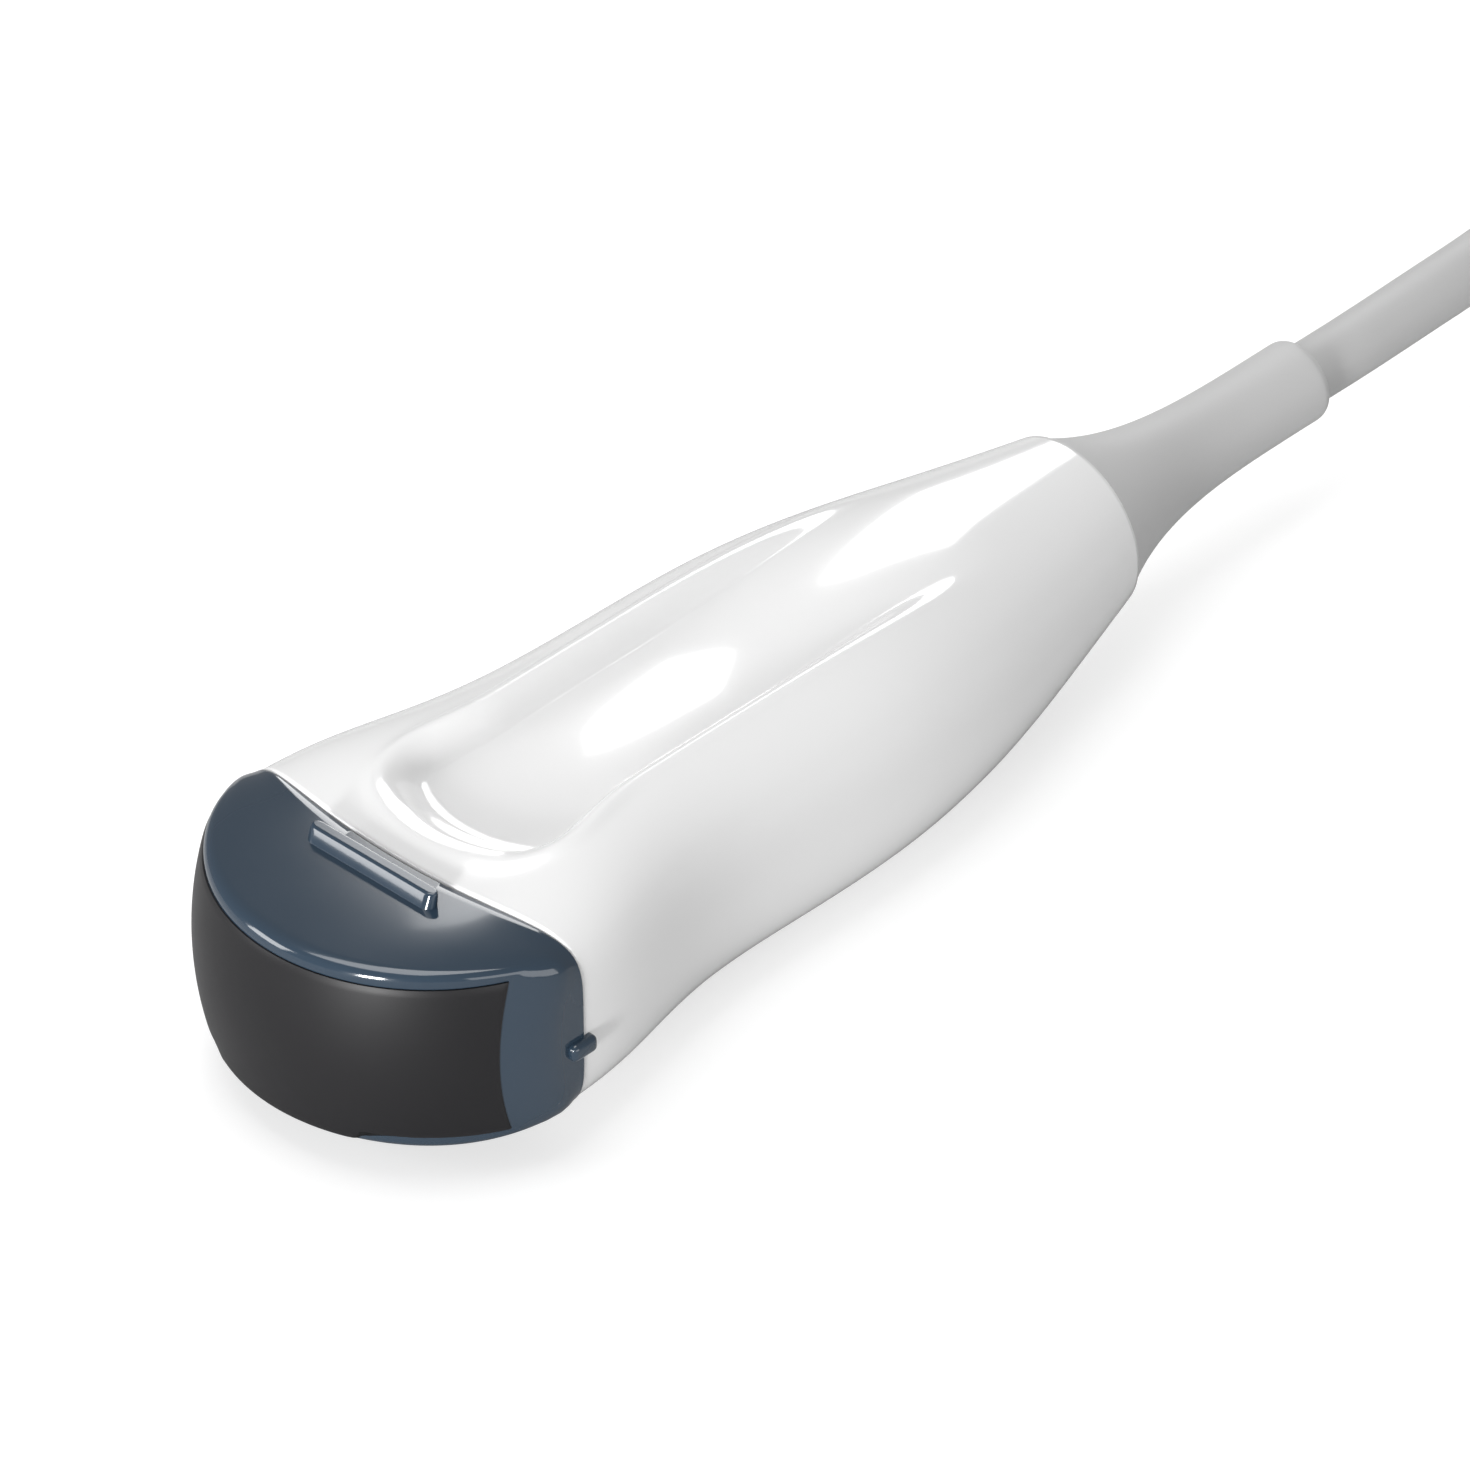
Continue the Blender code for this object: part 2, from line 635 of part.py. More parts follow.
def screw_places():
    """The boards' four screws, as (x, s) in from each board's corners."""
    inset = 2.6
    x = BOARD_WIDTH / 2.0 - inset
    return [(side * x, s) for side in (-1.0, 1.0)
            for s in (BOARD_START + PLUG_DEPTH + inset, BOARD_START + BOARD_LENGTH - inset)]


def make_boards():
    face = FRAME_THICK / 2.0 + BOARD_STANDOFF
    for label, side in (("top", 1.0), ("bottom", -1.0)):
        def span(low, high):
            return sorted((side * low, side * high))

        board = probe_box(f"interconnect_board_{label}", (-BOARD_WIDTH / 2.0, BOARD_WIDTH / 2.0),
                          (BOARD_START, BOARD_START + BOARD_LENGTH), span(face, face + BOARD_THICK))
        for k, (x, s) in enumerate(screw_places()):
            hole = cylinder(f"{label}_board_hole_guide_{k}", SCREW_RADIUS + EDGE_GAP,
                            place(x, s, side * (face - 1.0)), place(x, s, side * (face + 2.0)), "z",
                            collection=cutters)
            boolean(board, hole)
        finish(board, BOARD_GREEN, 0.4, smooth=False)
        outer = face + BOARD_THICK + GAP
        plug = probe_box(f"board_plug_{label}", (-PLUG_WIDTH / 2.0, PLUG_WIDTH / 2.0),
                         (BOARD_START, BOARD_START + PLUG_DEPTH), span(outer, outer + PLUG_HEIGHT), 0.2,
                         segments=1)
        finish(plug, LENS_CHARCOAL, 0.5, smooth=False)
        for k, place_along in enumerate((0.42, 0.72)):
            middle = BOARD_START + BOARD_LENGTH * place_along
            chip = probe_box(f"preamp_chip_{label}_{k + 1}", (-CHIP_SIZE / 2.0, CHIP_SIZE / 2.0),
                             (middle - CHIP_SIZE / 2.0, middle + CHIP_SIZE / 2.0),
                             span(outer, outer + CHIP_HEIGHT), 0.15, segments=1)
            finish(chip, LENS_CHARCOAL, 0.5, smooth=False)
        top = outer + SCREW_HEAD_HEIGHT
        profile = [(0.0, top), (SCREW_HEAD_RADIUS, top), (SCREW_HEAD_RADIUS, outer), (SCREW_RADIUS, outer),
                   (SCREW_RADIUS, GAP), (0.0, GAP)]
        for k, (x, s) in enumerate(screw_places()):
            make_screw(f"board_screw_{label}_{k + 1}", profile, x, s, side)


def make_screw(name, profile, x, s, side=1.0):
    bm = bmesh.new()
    turn_into(bm, profile, 10, x, s, side)
    return finish(mesh_object(name, bm), STEEL, 0.3, 1.0)


def turn_into(bm, profile, steps, x, s, side):
    """Turn a (radius, z) profile round an upright axis at (x, s) inside a shared mesh."""
    rings = []
    for radius, z in profile:
        if radius == 0.0:
            rings.append([bm.verts.new(place(x, s, side * z))])
        else:
            rings.append([bm.verts.new(place(x + radius * math.cos(2.0 * math.pi * k / steps),
                                             s + radius * math.sin(2.0 * math.pi * k / steps), side * z))
                          for k in range(steps)])
    for one, two in zip(rings[:-1], rings[1:]):
        for k in range(steps):
            n = (k + 1) % steps
            corners = []
            for vert in (one[k % len(one)], one[n % len(one)], two[n % len(two)], two[k % len(two)]):
                if vert not in corners:
                    corners.append(vert)
            bm.faces.new(corners)


def poly_tube(name, points, radius, resolution=2):
    """A tube through points on a smooth curve."""
    curve = bpy.data.curves.new(name, "CURVE")
    curve.dimensions = "3D"
    curve.bevel_depth = radius * MM
    curve.bevel_resolution = resolution
    curve.use_fill_caps = True
    spline = curve.splines.new("POLY")
    spline.points.add(len(points) - 1)
    for point, co in zip(spline.points, points):
        point.co = (*co, 1.0)
    return add_object(name, curve)


def smooth_path(points, step):
    """Points a step apart along a smooth curve through the given ones (centripetal, C1)."""
    dense = []
    ends = [points[0] * 2.0 - points[1]] + points + [points[-1] * 2.0 - points[-2]]
    for a, b, c, d in zip(ends[:-3], ends[1:-2], ends[2:-1], ends[3:]):
        for k in range(20):
            t = k / 20.0
            dense.append(0.5 * ((2.0 * b) + (c - a) * t + (2.0 * a - 5.0 * b + 4.0 * c - d) * t ** 2
                                + (3.0 * b - a - 3.0 * c + d) * t ** 3))
    dense.append(points[-1].copy())
    run = [0.0]
    for a, b in zip(dense[:-1], dense[1:]):
        run.append(run[-1] + (b - a).length)
    count = max(2, round(run[-1] / step))
    found = []
    k = 0
    for i in range(count + 1):
        target = run[-1] * i / count
        while k < len(run) - 2 and run[k + 1] < target:
            k += 1
        part = (target - run[k]) / (run[k + 1] - run[k])
        found.append(dense[k].lerp(dense[k + 1], min(1.0, part)))
    return found


def make_wires():
    """Two bundles of coaxial wires, from the stripped cable to the back of each board."""
    radius = BUNDLE_RADIUS / 2.0
    board_mid = FRAME_THICK / 2.0 + BOARD_STANDOFF + BOARD_THICK / 2.0
    back = BOARD_START + BOARD_LENGTH + GAP
    low = radius + GAP / 2.0
    front = JACKET_START - GAP
    for label, side in (("top", 1.0), ("bottom", -1.0)):
        route = [place(0.0, front, side * low), place(0.0, front - CRIMP_LENGTH - 2.0, side * low),
                 place(0.0, back + 6.0, side * (board_mid - 0.2)), place(0.0, back, side * board_mid)]
        wires = poly_tube(f"wire_bundle_{label}", smooth_path(route, 2.5 * MM), radius, 1)
        finish(wires, COPPER, 0.5)
    inner = BUNDLE_RADIUS + EDGE_GAP
    outer = inner + CRIMP_WALL
    profile = [(inner, 0.0), (inner, CRIMP_LENGTH), (outer, CRIMP_LENGTH), (outer, 0.0)]
    crimp = turned("shield_crimp_ring", profile, 24, place(0.0, front - CRIMP_LENGTH, 0.0))
    finish(crimp, STEEL, 0.35, 1.0)


def make_clamp():
    """Two blocks that grip the cable's jacket behind the frame, held by two screws."""
    front = JACKET_START + GAP
    reach = CABLE_DIAMETER / 2.0 + CLAMP_WALL
    width = reach + 2.8
    bore = cylinder("clamp_bore_guide", CABLE_DIAMETER / 2.0 + EDGE_GAP, place(0.0, front - 2.0, 0.0),
                    place(0.0, front + CLAMP_LENGTH + 2.0, 0.0), "y", 20, cutters)
    middle = front + CLAMP_LENGTH / 2.0
    screw_x = width - 2.1
    for label, side in (("top", 1.0), ("bottom", -1.0)):
        half = probe_box(f"cable_clamp_{label}", (-width, width), (front, front + CLAMP_LENGTH),
                         sorted((side * GAP / 2.0, side * reach)), 0.5, segments=1)
        boolean(half, bore)
        for k, x in enumerate((-screw_x, screw_x)):
            hole = cylinder(f"clamp_{label}_hole_guide_{k}", SCREW_RADIUS + EDGE_GAP,
                            place(x, middle, -reach - 1.0), place(x, middle, reach + 1.0), "z",
                            collection=cutters)
            boolean(half, hole)
        finish(half, DARK_GREY, 0.6)
    top = reach + GAP
    profile = [(0.0, top + SCREW_HEAD_HEIGHT), (SCREW_HEAD_RADIUS, top + SCREW_HEAD_HEIGHT),
               (SCREW_HEAD_RADIUS, top), (SCREW_RADIUS, top), (SCREW_RADIUS, -reach), (0.0, -reach)]
    for k, x in enumerate((-screw_x, screw_x)):
        make_screw(f"clamp_screw_{k + 1}", profile, x, middle)


def make_relief():
    """Trumpet-shaped boot: snap flange inside the shell's mouth, then a concave taper."""
    bore = CABLE_DIAMETER / 2.0 + EDGE_GAP
    mouth = TAIL_RADIUS - HANDLE_WALL - EDGE_GAP
    base = TAIL_RADIUS - 0.3
    start = HANDLE_END - RELIEF_COLLAR_LENGTH
    profile = [(bore, start), (mouth, start), (mouth, HANDLE_END + GAP), (base, HANDLE_END + GAP)]
    end = HANDLE_END + RELIEF_LENGTH
    for k in range(1, 15):
        u = k / 14.0
        s = HANDLE_END + GAP + (end - RELIEF_ROUND - HANDLE_END - GAP) * u
        profile.append((RELIEF_END_RADIUS + (base - RELIEF_END_RADIUS) * (1.0 - u) ** RELIEF_FLARE, s))
    for k in range(1, 4):
        a = math.pi / 2.0 * k / 4.0
        profile.append((RELIEF_END_RADIUS - RELIEF_ROUND * 0.8 * (1.0 - math.cos(a)),
                        end - RELIEF_ROUND * (1.0 - math.sin(a))))
    profile += [(RELIEF_END_RADIUS - RELIEF_ROUND * 0.8, end), (bore, end)]
    relief = turned("strain_relief", profile, 36, place(0.0, 0.0, 0.0))
    return finish(relief, CABLE_GREY, 0.55)


# Cable, hank and tie
def table_point(x, s, height):
    """A point given by its height above the table."""
    return place(x, s, height - AXIS_HEIGHT)


def hank_top():
    return TIE_THICK + GAP + CABLE_DIAMETER + (HANK_LAYERS - 1) * HANK_LAYER_RISE


def make_cable():
    """The free cable: out of the relief and down to the hank, then from its top to the connector."""
    radius = CABLE_DIAMETER / 2.0
    lead = [place(0.0, JACKET_START, 0.0), place(0.0, 125.0, 0.0), place(0.0, 149.0, 0.0),
            place(0.0, 157.0, 0.0), place(-0.3, 167.0, -0.1), place(-0.9, 176.0, -0.5),
            place(-2.1, 184.0, -1.2), place(-4.3, 191.0, -2.4), place(-7.6, 197.2, -4.2)]
    finish(poly_tube("cable_lead", smooth_path(lead, 3.0 * MM), radius), CABLE_GREY, 0.5)
    far = HANK_START + HANK_RUN
    tail = [table_point(-8.5, far + 29.7, 22.35), table_point(-4.1, far + 37.0, 19.8),
            table_point(-0.85, far + 45.0, 16.0), table_point(0.9, far + 53.0, 13.65),
            table_point(1.2, far + 60.0, 13.0), table_point(1.2, far + 68.0, 13.0)]
    finish(poly_tube("cable_tail", smooth_path(tail, 3.0 * MM), radius), CABLE_GREY, 0.5)


def waist_at(s):
    """How far the tie draws the runs in at distance s."""
    away = abs(s - HANK_START - HANK_RUN / 2.0)
    return HANK_WAIST * ease((WAIST_REACH - away) / (WAIST_REACH - WAIST_FLAT))


def hank_outline(half):
    """Two straight runs, drawn in at the tie, joined by round folds, as (x, s) points."""
    turn = [math.pi * k / FOLD_FACETS for k in range(FOLD_FACETS + 1)]
    run = [HANK_START + HANK_RUN * k / 12.0 for k in range(1, 12)]
    far = HANK_START + HANK_RUN
    points = [(half * math.cos(a), far + half * math.sin(a)) for a in turn]
    points += [(waist_at(s) - half, s) for s in reversed(run)]
    points += [(-half * math.cos(a), HANK_START - half * math.sin(a)) for a in turn]
    points += [(half - waist_at(s), s) for s in run]
    return [(HANK_MIDDLE + x, s) for x, s in points]


def make_hank():
    """The wound cable's outer shape, open in the middle, and the strap that holds its waist."""
    low = TIE_THICK + GAP
    reach = CABLE_DIAMETER / 2.0 + HANK_SLACK
    outer_half = HANK_FOLD_RADIUS + (HANK_TURNS_ACROSS - 1) * CABLE_DIAMETER + reach
    curve = bpy.data.curves.new("cable_hank", "CURVE")
    curve.dimensions = "2D"
    curve.fill_mode = "BOTH"
    curve.extrude = (hank_top() - low) / 2.0 * MM
    for half in (outer_half, HANK_FOLD_RADIUS - reach):
        outline = hank_outline(half)
        spline = curve.splines.new("POLY")
        spline.points.add(len(outline) - 1)
        for point, (x, s) in zip(spline.points, outline):
            point.co = (*table_point(x, s, 0.0), 1.0)
        spline.use_cyclic_u = True
    hank = add_object("cable_hank", curve)
    hank.location.z = (low + hank_top()) / 2.0 * MM
    finish(hank, CABLE_GREY, 0.5)
    middle = HANK_START + HANK_RUN / 2.0
    inner = outer_half - HANK_WAIST + GAP
    outer = inner + TIE_THICK
    side = TIE_WIDTH / 2.0
    top = hank_top() + GAP
    tie = box_object("hank_tie", table_point(HANK_MIDDLE - outer, middle - side, 0.0),
                     table_point(HANK_MIDDLE + outer, middle + side, top + TIE_THICK), 0.8)
    hole = box_object("tie_hole_guide", table_point(HANK_MIDDLE - inner, middle - TIE_WIDTH, TIE_THICK),
                      table_point(HANK_MIDDLE + inner, middle + TIE_WIDTH, top), collection=cutters)
    boolean(tie, hole)
    finish(tie, DARK_GREY, 0.7, smooth=False)


# System connector
def connector_start():
    """Where the connector's boot begins, from the lens."""
    return HANK_START + HANK_RUN + CONNECTOR_AWAY


def connector_box(name, along, across, z, bevel=0.0, collection=parts, segments=2):
    """A box measured from the connector's back (along), its middle (across) and the table (z)."""
    start = connector_start() + BOOT_LENGTH
    low, high = (table_point(CONNECTOR_MIDDLE + across[k], start + along[k], z[k]) for k in (0, 1))
    return box_object(name, low, high, bevel, collection, segments)


def make_connector():
    """Two half shells joined at mid-height, and the boot that the cable enters through."""
    half = BODY_WIDTH / 2.0
    mid = BODY_HEIGHT / 2.0
    start = connector_start() + BOOT_LENGTH
    radius = CABLE_DIAMETER / 2.0
    neck = radius + BOOT_WALL + BOOT_FLARE - EDGE_GAP
    clear = 5.0
    inside = half - BODY_WALL
    cavity = connector_box("cavity_guide", (BODY_WALL, BODY_LENGTH + clear), (-inside, inside),
                           (BODY_WALL, BODY_HEIGHT - BODY_WALL), collection=cutters)
    gland = cylinder("gland_guide", neck + EDGE_GAP, table_point(CONNECTOR_MIDDLE, start - clear, mid),
                     table_point(CONNECTOR_MIDDLE, start + BODY_WALL + 1.0, mid), "y", 24, cutters)
    halves = {"lower": (-clear, mid - GAP / 2.0), "upper": (mid + GAP / 2.0, BODY_HEIGHT + clear)}
    for label, kept in halves.items():
        shell = connector_box(f"connector_shell_{label}", (0.0, BODY_LENGTH), (-half, half),
                              (0.0, BODY_HEIGHT), BODY_ROUND, segments=3)
        keep = connector_box(f"half_guide_{label}", (-clear, BODY_LENGTH + clear),
                             (-half - clear, half + clear), kept, collection=cutters)
        boolean(shell, keep, "INTERSECT")
        boolean(shell, cavity)
        boolean(shell, gland)
        finish(shell, CONNECTOR_GREY, 0.4)
    bore = radius + EDGE_GAP
    shoulder = BOOT_LENGTH - GAP
    boot = turned("connector_boot", [(bore, 0.0), (radius + BOOT_WALL, 0.0),
                                     (radius + BOOT_WALL + BOOT_FLARE, shoulder), (neck, shoulder),
                                     (neck, BOOT_LENGTH + BODY_WALL), (bore, BOOT_LENGTH + BODY_WALL)], 24,
                  table_point(CONNECTOR_MIDDLE, connector_start(), mid))
    finish(boot, DARK_GREY, 0.6)
    make_contacts()


def make_contacts():
    """The contact block and its pins in the connector's mouth, the collar, and the board behind."""
    half = SOCKET_WIDTH / 2.0
    mid = BODY_HEIGHT / 2.0
    face = BODY_LENGTH - SOCKET_DEPTH
    inside = BODY_WIDTH / 2.0 - BODY_WALL - EDGE_GAP
    block = connector_box("contact_block", (face - CONTACT_BLOCK_DEPTH, face), (-inside, inside),
                          (BODY_WALL + EDGE_GAP, BODY_HEIGHT - BODY_WALL - EDGE_GAP))
    pins = bmesh.new()
    start = connector_start() + BOOT_LENGTH
    pin_length = SOCKET_DEPTH - 1.5
    for row in range(PIN_ROWS):
        for column in range(PIN_COLUMNS):
            across = (column - (PIN_COLUMNS - 1) / 2.0) * PIN_PITCH
            up = mid + (row - (PIN_ROWS - 1) / 2.0) * PIN_PITCH
            middle = table_point(CONNECTOR_MIDDLE + across, start + face + pin_length / 2.0 - 1.0, up)
            for vert in bmesh.ops.create_cube(pins, size=1.0)["verts"]:
                vert.co = middle + Vector((vert.co.x * 2.0 * PIN_RADIUS, vert.co.y * (pin_length + 2.0),
                                           vert.co.z * 2.0 * PIN_RADIUS)) * MM
    boolean(block, mesh_object("pin_guide", pins, cutters), "UNION")
    finish(block, DARK_GREY, 0.5, smooth=False)
    tall = SOCKET_HEIGHT / 2.0
    front = BODY_LENGTH + COLLAR_PROUD
    collar = connector_box("connector_collar", (face + GAP, front), (-half, half), (mid - tall, mid + tall),
                           COLLAR_ROUND)
    mouth_half, mouth_tall = half - COLLAR_WALL, tall - COLLAR_WALL
    opening = connector_box("collar_guide", (face - 2.0, front + 2.0), (-mouth_half, mouth_half),
                            (mid - mouth_tall, mid + mouth_tall), collection=cutters)
    boolean(collar, opening)
    finish(collar, STEEL, 0.3, 1.0, smooth=False)
    board_start = BODY_WALL + BOARD_BACK_SPACE
    board = connector_box("connector_board", (board_start, face - CONTACT_BLOCK_DEPTH - GAP), (-half, half),
                          (mid - BOARD_THICK / 2.0, mid + BOARD_THICK / 2.0))
    finish(board, BOARD_GREEN, 0.4, smooth=False)
    wire_end = start + board_start - GAP
    wires = poly_tube("connector_wires", smooth_path(
        [table_point(CONNECTOR_MIDDLE, start - WIRE_ENTRY, mid),
         table_point(CONNECTOR_MIDDLE, (start + wire_end) / 2.0, mid),
         table_point(CONNECTOR_MIDDLE, wire_end, mid)], 3.0 * MM), BUNDLE_RADIUS, 1)
    finish(wires, COPPER, 0.5)


make_nosepiece()
stack_edge = make_acoustic_stack()
make_flex_circuits(stack_edge)
make_handle()
make_frame(stack_edge + BACKING_THICK + GAP)
make_boards()
make_wires()
make_clamp()
make_relief()
make_cable()
make_hank()
make_connector()
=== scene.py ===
import math

import bmesh
import bpy
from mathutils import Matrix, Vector


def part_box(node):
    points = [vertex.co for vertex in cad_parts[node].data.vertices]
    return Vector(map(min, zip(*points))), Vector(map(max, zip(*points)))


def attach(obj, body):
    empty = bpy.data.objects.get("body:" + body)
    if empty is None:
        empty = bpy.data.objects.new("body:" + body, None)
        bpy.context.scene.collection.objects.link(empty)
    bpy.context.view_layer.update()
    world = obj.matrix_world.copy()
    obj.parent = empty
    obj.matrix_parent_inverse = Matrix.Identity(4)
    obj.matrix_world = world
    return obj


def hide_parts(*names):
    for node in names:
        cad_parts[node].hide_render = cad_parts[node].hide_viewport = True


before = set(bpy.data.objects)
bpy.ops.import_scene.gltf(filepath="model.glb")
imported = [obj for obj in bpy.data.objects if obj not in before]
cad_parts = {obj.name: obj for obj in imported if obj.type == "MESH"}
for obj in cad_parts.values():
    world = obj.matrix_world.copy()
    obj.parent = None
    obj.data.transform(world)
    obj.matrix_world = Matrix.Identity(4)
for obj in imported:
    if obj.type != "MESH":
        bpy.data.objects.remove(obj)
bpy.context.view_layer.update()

ROOT = "root"
MM = 0.001

# The probe's driving sizes, in millimetres
relief_low, relief_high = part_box("strain_relief")
PROBE_HALF = relief_high[1] / MM
AXIS_HEIGHT = (relief_high[2] + relief_low[2]) / 2.0 / MM
HEAD_WIDTH = 46.0
HEAD_THICK = 22.4
HEAD_SQUARE = 6.0           # how square the section is; 2 is an ellipse
FRONT_SQUARE = 8.0
NOSE_DOME = 0.28
LENS_RADIUS = 24.0
LENS_CROWN = 1.1
LENS_THICK = 1.4
LENS_STEP = 0.25
LENS_GAP = 0.05
LENS_RIM = 0.1
LENS_RIM_WIDTH = 0.5
WINDOW_ANGLE = 64.2
WINDOW_HALF_HEIGHT = 9.2
WINDOW_SIDE_BOW = 1.5
WRAP_ANGLE = 26.5
WRAP_FADE = 3.0
WRAP_DROP = 1.3
LIP = 2.0
LEAST_LIP = 0.3
LAND_SHARE = 0.12           # of the way from the window to the lip's corner
SEAM_SIDE = 22.0
SEAM_BOW = 3.2
SEAM_GROOVE = 0.12
NOSE_WALL = 1.8
HANDLE_SECTIONS = [
    (30.0, 22.3, 12.3, -11.7, 4.4, 5.4),
    (40.0, 19.8, 13.2, -12.8, 3.2, 3.9),
    (50.0, 18.2, 13.6, -13.8, 2.9, 3.6),
    (65.0, 17.8, 13.6, -14.4, 2.8, 3.7),
    (78.0, 17.5, 13.4, -14.4, 2.7, 3.6),
    (92.0, 15.7, 12.3, -13.2, 2.4, 3.2),
    (104.0, 12.9, 10.9, -11.5, 2.1, 2.5),
]
HANDLE_END = 115.0
TAIL_RADIUS = 9.8
HANDLE_WALL = 2.0
FAIRING_PASSES = 40
DISH_START = 23.4
DISH_END = 98.0
DISH_FRONT_HALF_WIDTH = 12.5
DISH_HALF_WIDTH = 9.6
DISH_DEPTH = 2.7
DISH_WALL = 2.4
DISH_NEAR_WALL = 3.5
DISH_FRONT_WALL = 5.4
DISH_FRONT_BOW = 5.0
DISH_NARROWING = 20.0
DISH_CORNER = 1.25          # this one and the rim's place and spread count in widths of the wall
DISH_RIM = 0.4
DISH_RIM_PLACE = 0.25
DISH_RIM_SPREAD = 0.32
DISH_RIM_START = 3.0
DISH_BLEND = 1.6
RAIL_LENGTH = 17.3
RAIL_DEPTH = 2.2
RAIL_HEIGHT = 1.6
RAIL_TO_SEAM = 2.1
RAIL_EDGE = 0.25
RAIL_CREASE = 0.04
RAIL_LEAN = 0.55
RAIL_SINK = 0.6
NUB_WIDTH = 1.8
NUB_LENGTH = 3.5
NUB_OVER_SEAM = 1.2
NUB_HEIGHT = 2.0
NUB_REACH = 0.9
NUB_DROP = 1.7
NUB_ROUND = 0.7
CABLE_DIAMETER = 6.6
RELIEF_LENGTH = 34.0
RELIEF_END_RADIUS = 4.5
RELIEF_ROUND = 1.2
RELIEF_ROUND_DEPTH = 0.8
RELIEF_COLLAR_LENGTH = 6.0
RELIEF_TAPER = 3.6
RELIEF_BORE_GAP = 0.12
RELIEF_MOUTH_GAP = 0.2
RELIEF_FACE_GAP = 0.1
RELIEF_STEP = 0.3
RELIEF_EDGE = 0.15
JACKET_START = 101.0
GAP = 0.3
HANK_MIDDLE = 5.8
HANK_START = 227.0
HANK_RUN = 54.0
HANK_FOLD_RADIUS = 19.8
HANK_LAYER_RISE = 6.27
HANK_WAIST = 1.6
WAIST_FLAT = 7.0
WAIST_REACH = 25.0
TIE_THICK = 1.2
CABLE_STEP = 2.0
# The hank's turns from the first to the last, each as (layer, lane)
TURN_LANES = [(0, 1), (0, 0), (1, 0), (1, 1), (2, 1), (2, 0), (3, 0), (3, 1)]
# Where a turn moves to the next lane on its near fold, in degrees
SHIFT_START = 85.0
SHIFT_START_STEP = 17.0
SHIFT_LENGTH = 89.0
# The cable's route to the hank (x, s, z) and from it (x, distance past the hank's run, height)
CABLE_LEAD = [
    (0.0, JACKET_START, 0.0), (0.0, 125.0, 0.0), (0.0, 149.0, 0.0), (0.0, 157.0, 0.0), (-0.3, 167.0, -0.1),
    (-0.9, 176.0, -0.5), (-2.1, 184.0, -1.2), (-4.3, 191.0, -2.4), (-7.6, 197.2, -4.2), (-11.7, 203.2, -6.5),
    (-15.4, 209.2, -8.4), (-18.2, 215.2, -9.45), (-20.1, 222.0, -9.73),
]
CABLE_TAIL = [
    (-20.5, 0.0, 23.6), (-19.4, 8.0, 23.6), (-17.1, 15.0, 23.6), (-13.6, 22.0, 23.55), (-8.5, 29.7, 22.35),
    (-4.1, 37.0, 19.8), (-0.85, 45.0, 16.0), (0.9, 53.0, 13.65), (1.2, 60.0, 13.0), (1.2, 68.0, 13.0),
]
SHARP_ANGLE = 40.0


def place(x, s, z):
    """A point from the probe's own measure (s from the lens, z from the axis) to world metres."""
    return Vector((x * MM, (s - PROBE_HALF) * MM, (z + AXIS_HEIGHT) * MM))


def table_point(x, s, height):
    """The same, with the height above the table instead of z."""
    return Vector((x * MM, (s - PROBE_HALF) * MM, height * MM))


# Materials
def surface(name, colour, roughness, metallic=0.0, mottle=0.04, mottle_size=0.02, grain=0.0002,
            bump=0.05, coat=0.0, coat_roughness=0.1, spread=0.04, shine=0.5):
    """A moulded or metal finish: faint uneven colour, uneven gloss and a fine surface grain."""
    made = bpy.data.materials.new(name)
    made.use_nodes = True
    nodes = made.node_tree.nodes
    links = made.node_tree.links
    shader = nodes["Principled BSDF"]
    shader.inputs["Metallic"].default_value = metallic
    shader.inputs["Specular IOR Level"].default_value = shine
    shader.inputs["Coat Weight"].default_value = coat
    shader.inputs["Coat Roughness"].default_value = coat_roughness
    where = nodes.new("ShaderNodeTexCoord")
    clouds = nodes.new("ShaderNodeTexNoise")
    clouds.inputs["Scale"].default_value = 1.0 / mottle_size
    clouds.inputs["Detail"].default_value = 4.0
    links.new(where.outputs["Object"], clouds.inputs["Vector"])
    tint = nodes.new("ShaderNodeMix")
    tint.data_type = "RGBA"
    tint.inputs["A"].default_value = (*[c * (1.0 - mottle) for c in colour], 1.0)
    tint.inputs["B"].default_value = (*[min(1.0, c * (1.0 + mottle)) for c in colour], 1.0)
    links.new(clouds.outputs["Fac"], tint.inputs["Factor"])
    links.new(tint.outputs["Result"], shader.inputs["Base Color"])
    gloss = nodes.new("ShaderNodeMapRange")
    gloss.inputs["From Min"].default_value = 0.3
    gloss.inputs["From Max"].default_value = 0.7
    gloss.inputs["To Min"].default_value = max(0.02, roughness - spread)
    gloss.inputs["To Max"].default_value = roughness + spread
    links.new(clouds.outputs["Fac"], gloss.inputs["Value"])
    links.new(gloss.outputs["Result"], shader.inputs["Roughness"])
    if bump:
        fine = nodes.new("ShaderNodeTexNoise")
        fine.inputs["Scale"].default_value = 1.0 / grain
        fine.inputs["Detail"].default_value = 3.0
        links.new(where.outputs["Object"], fine.inputs["Vector"])
        relief = nodes.new("ShaderNodeBump")
        relief.inputs["Strength"].default_value = bump
        relief.inputs["Distance"].default_value = grain * 0.3
        links.new(fine.outputs["Fac"], relief.inputs["Height"])
        links.new(relief.outputs["Normal"], shader.inputs["Normal"])
    return made


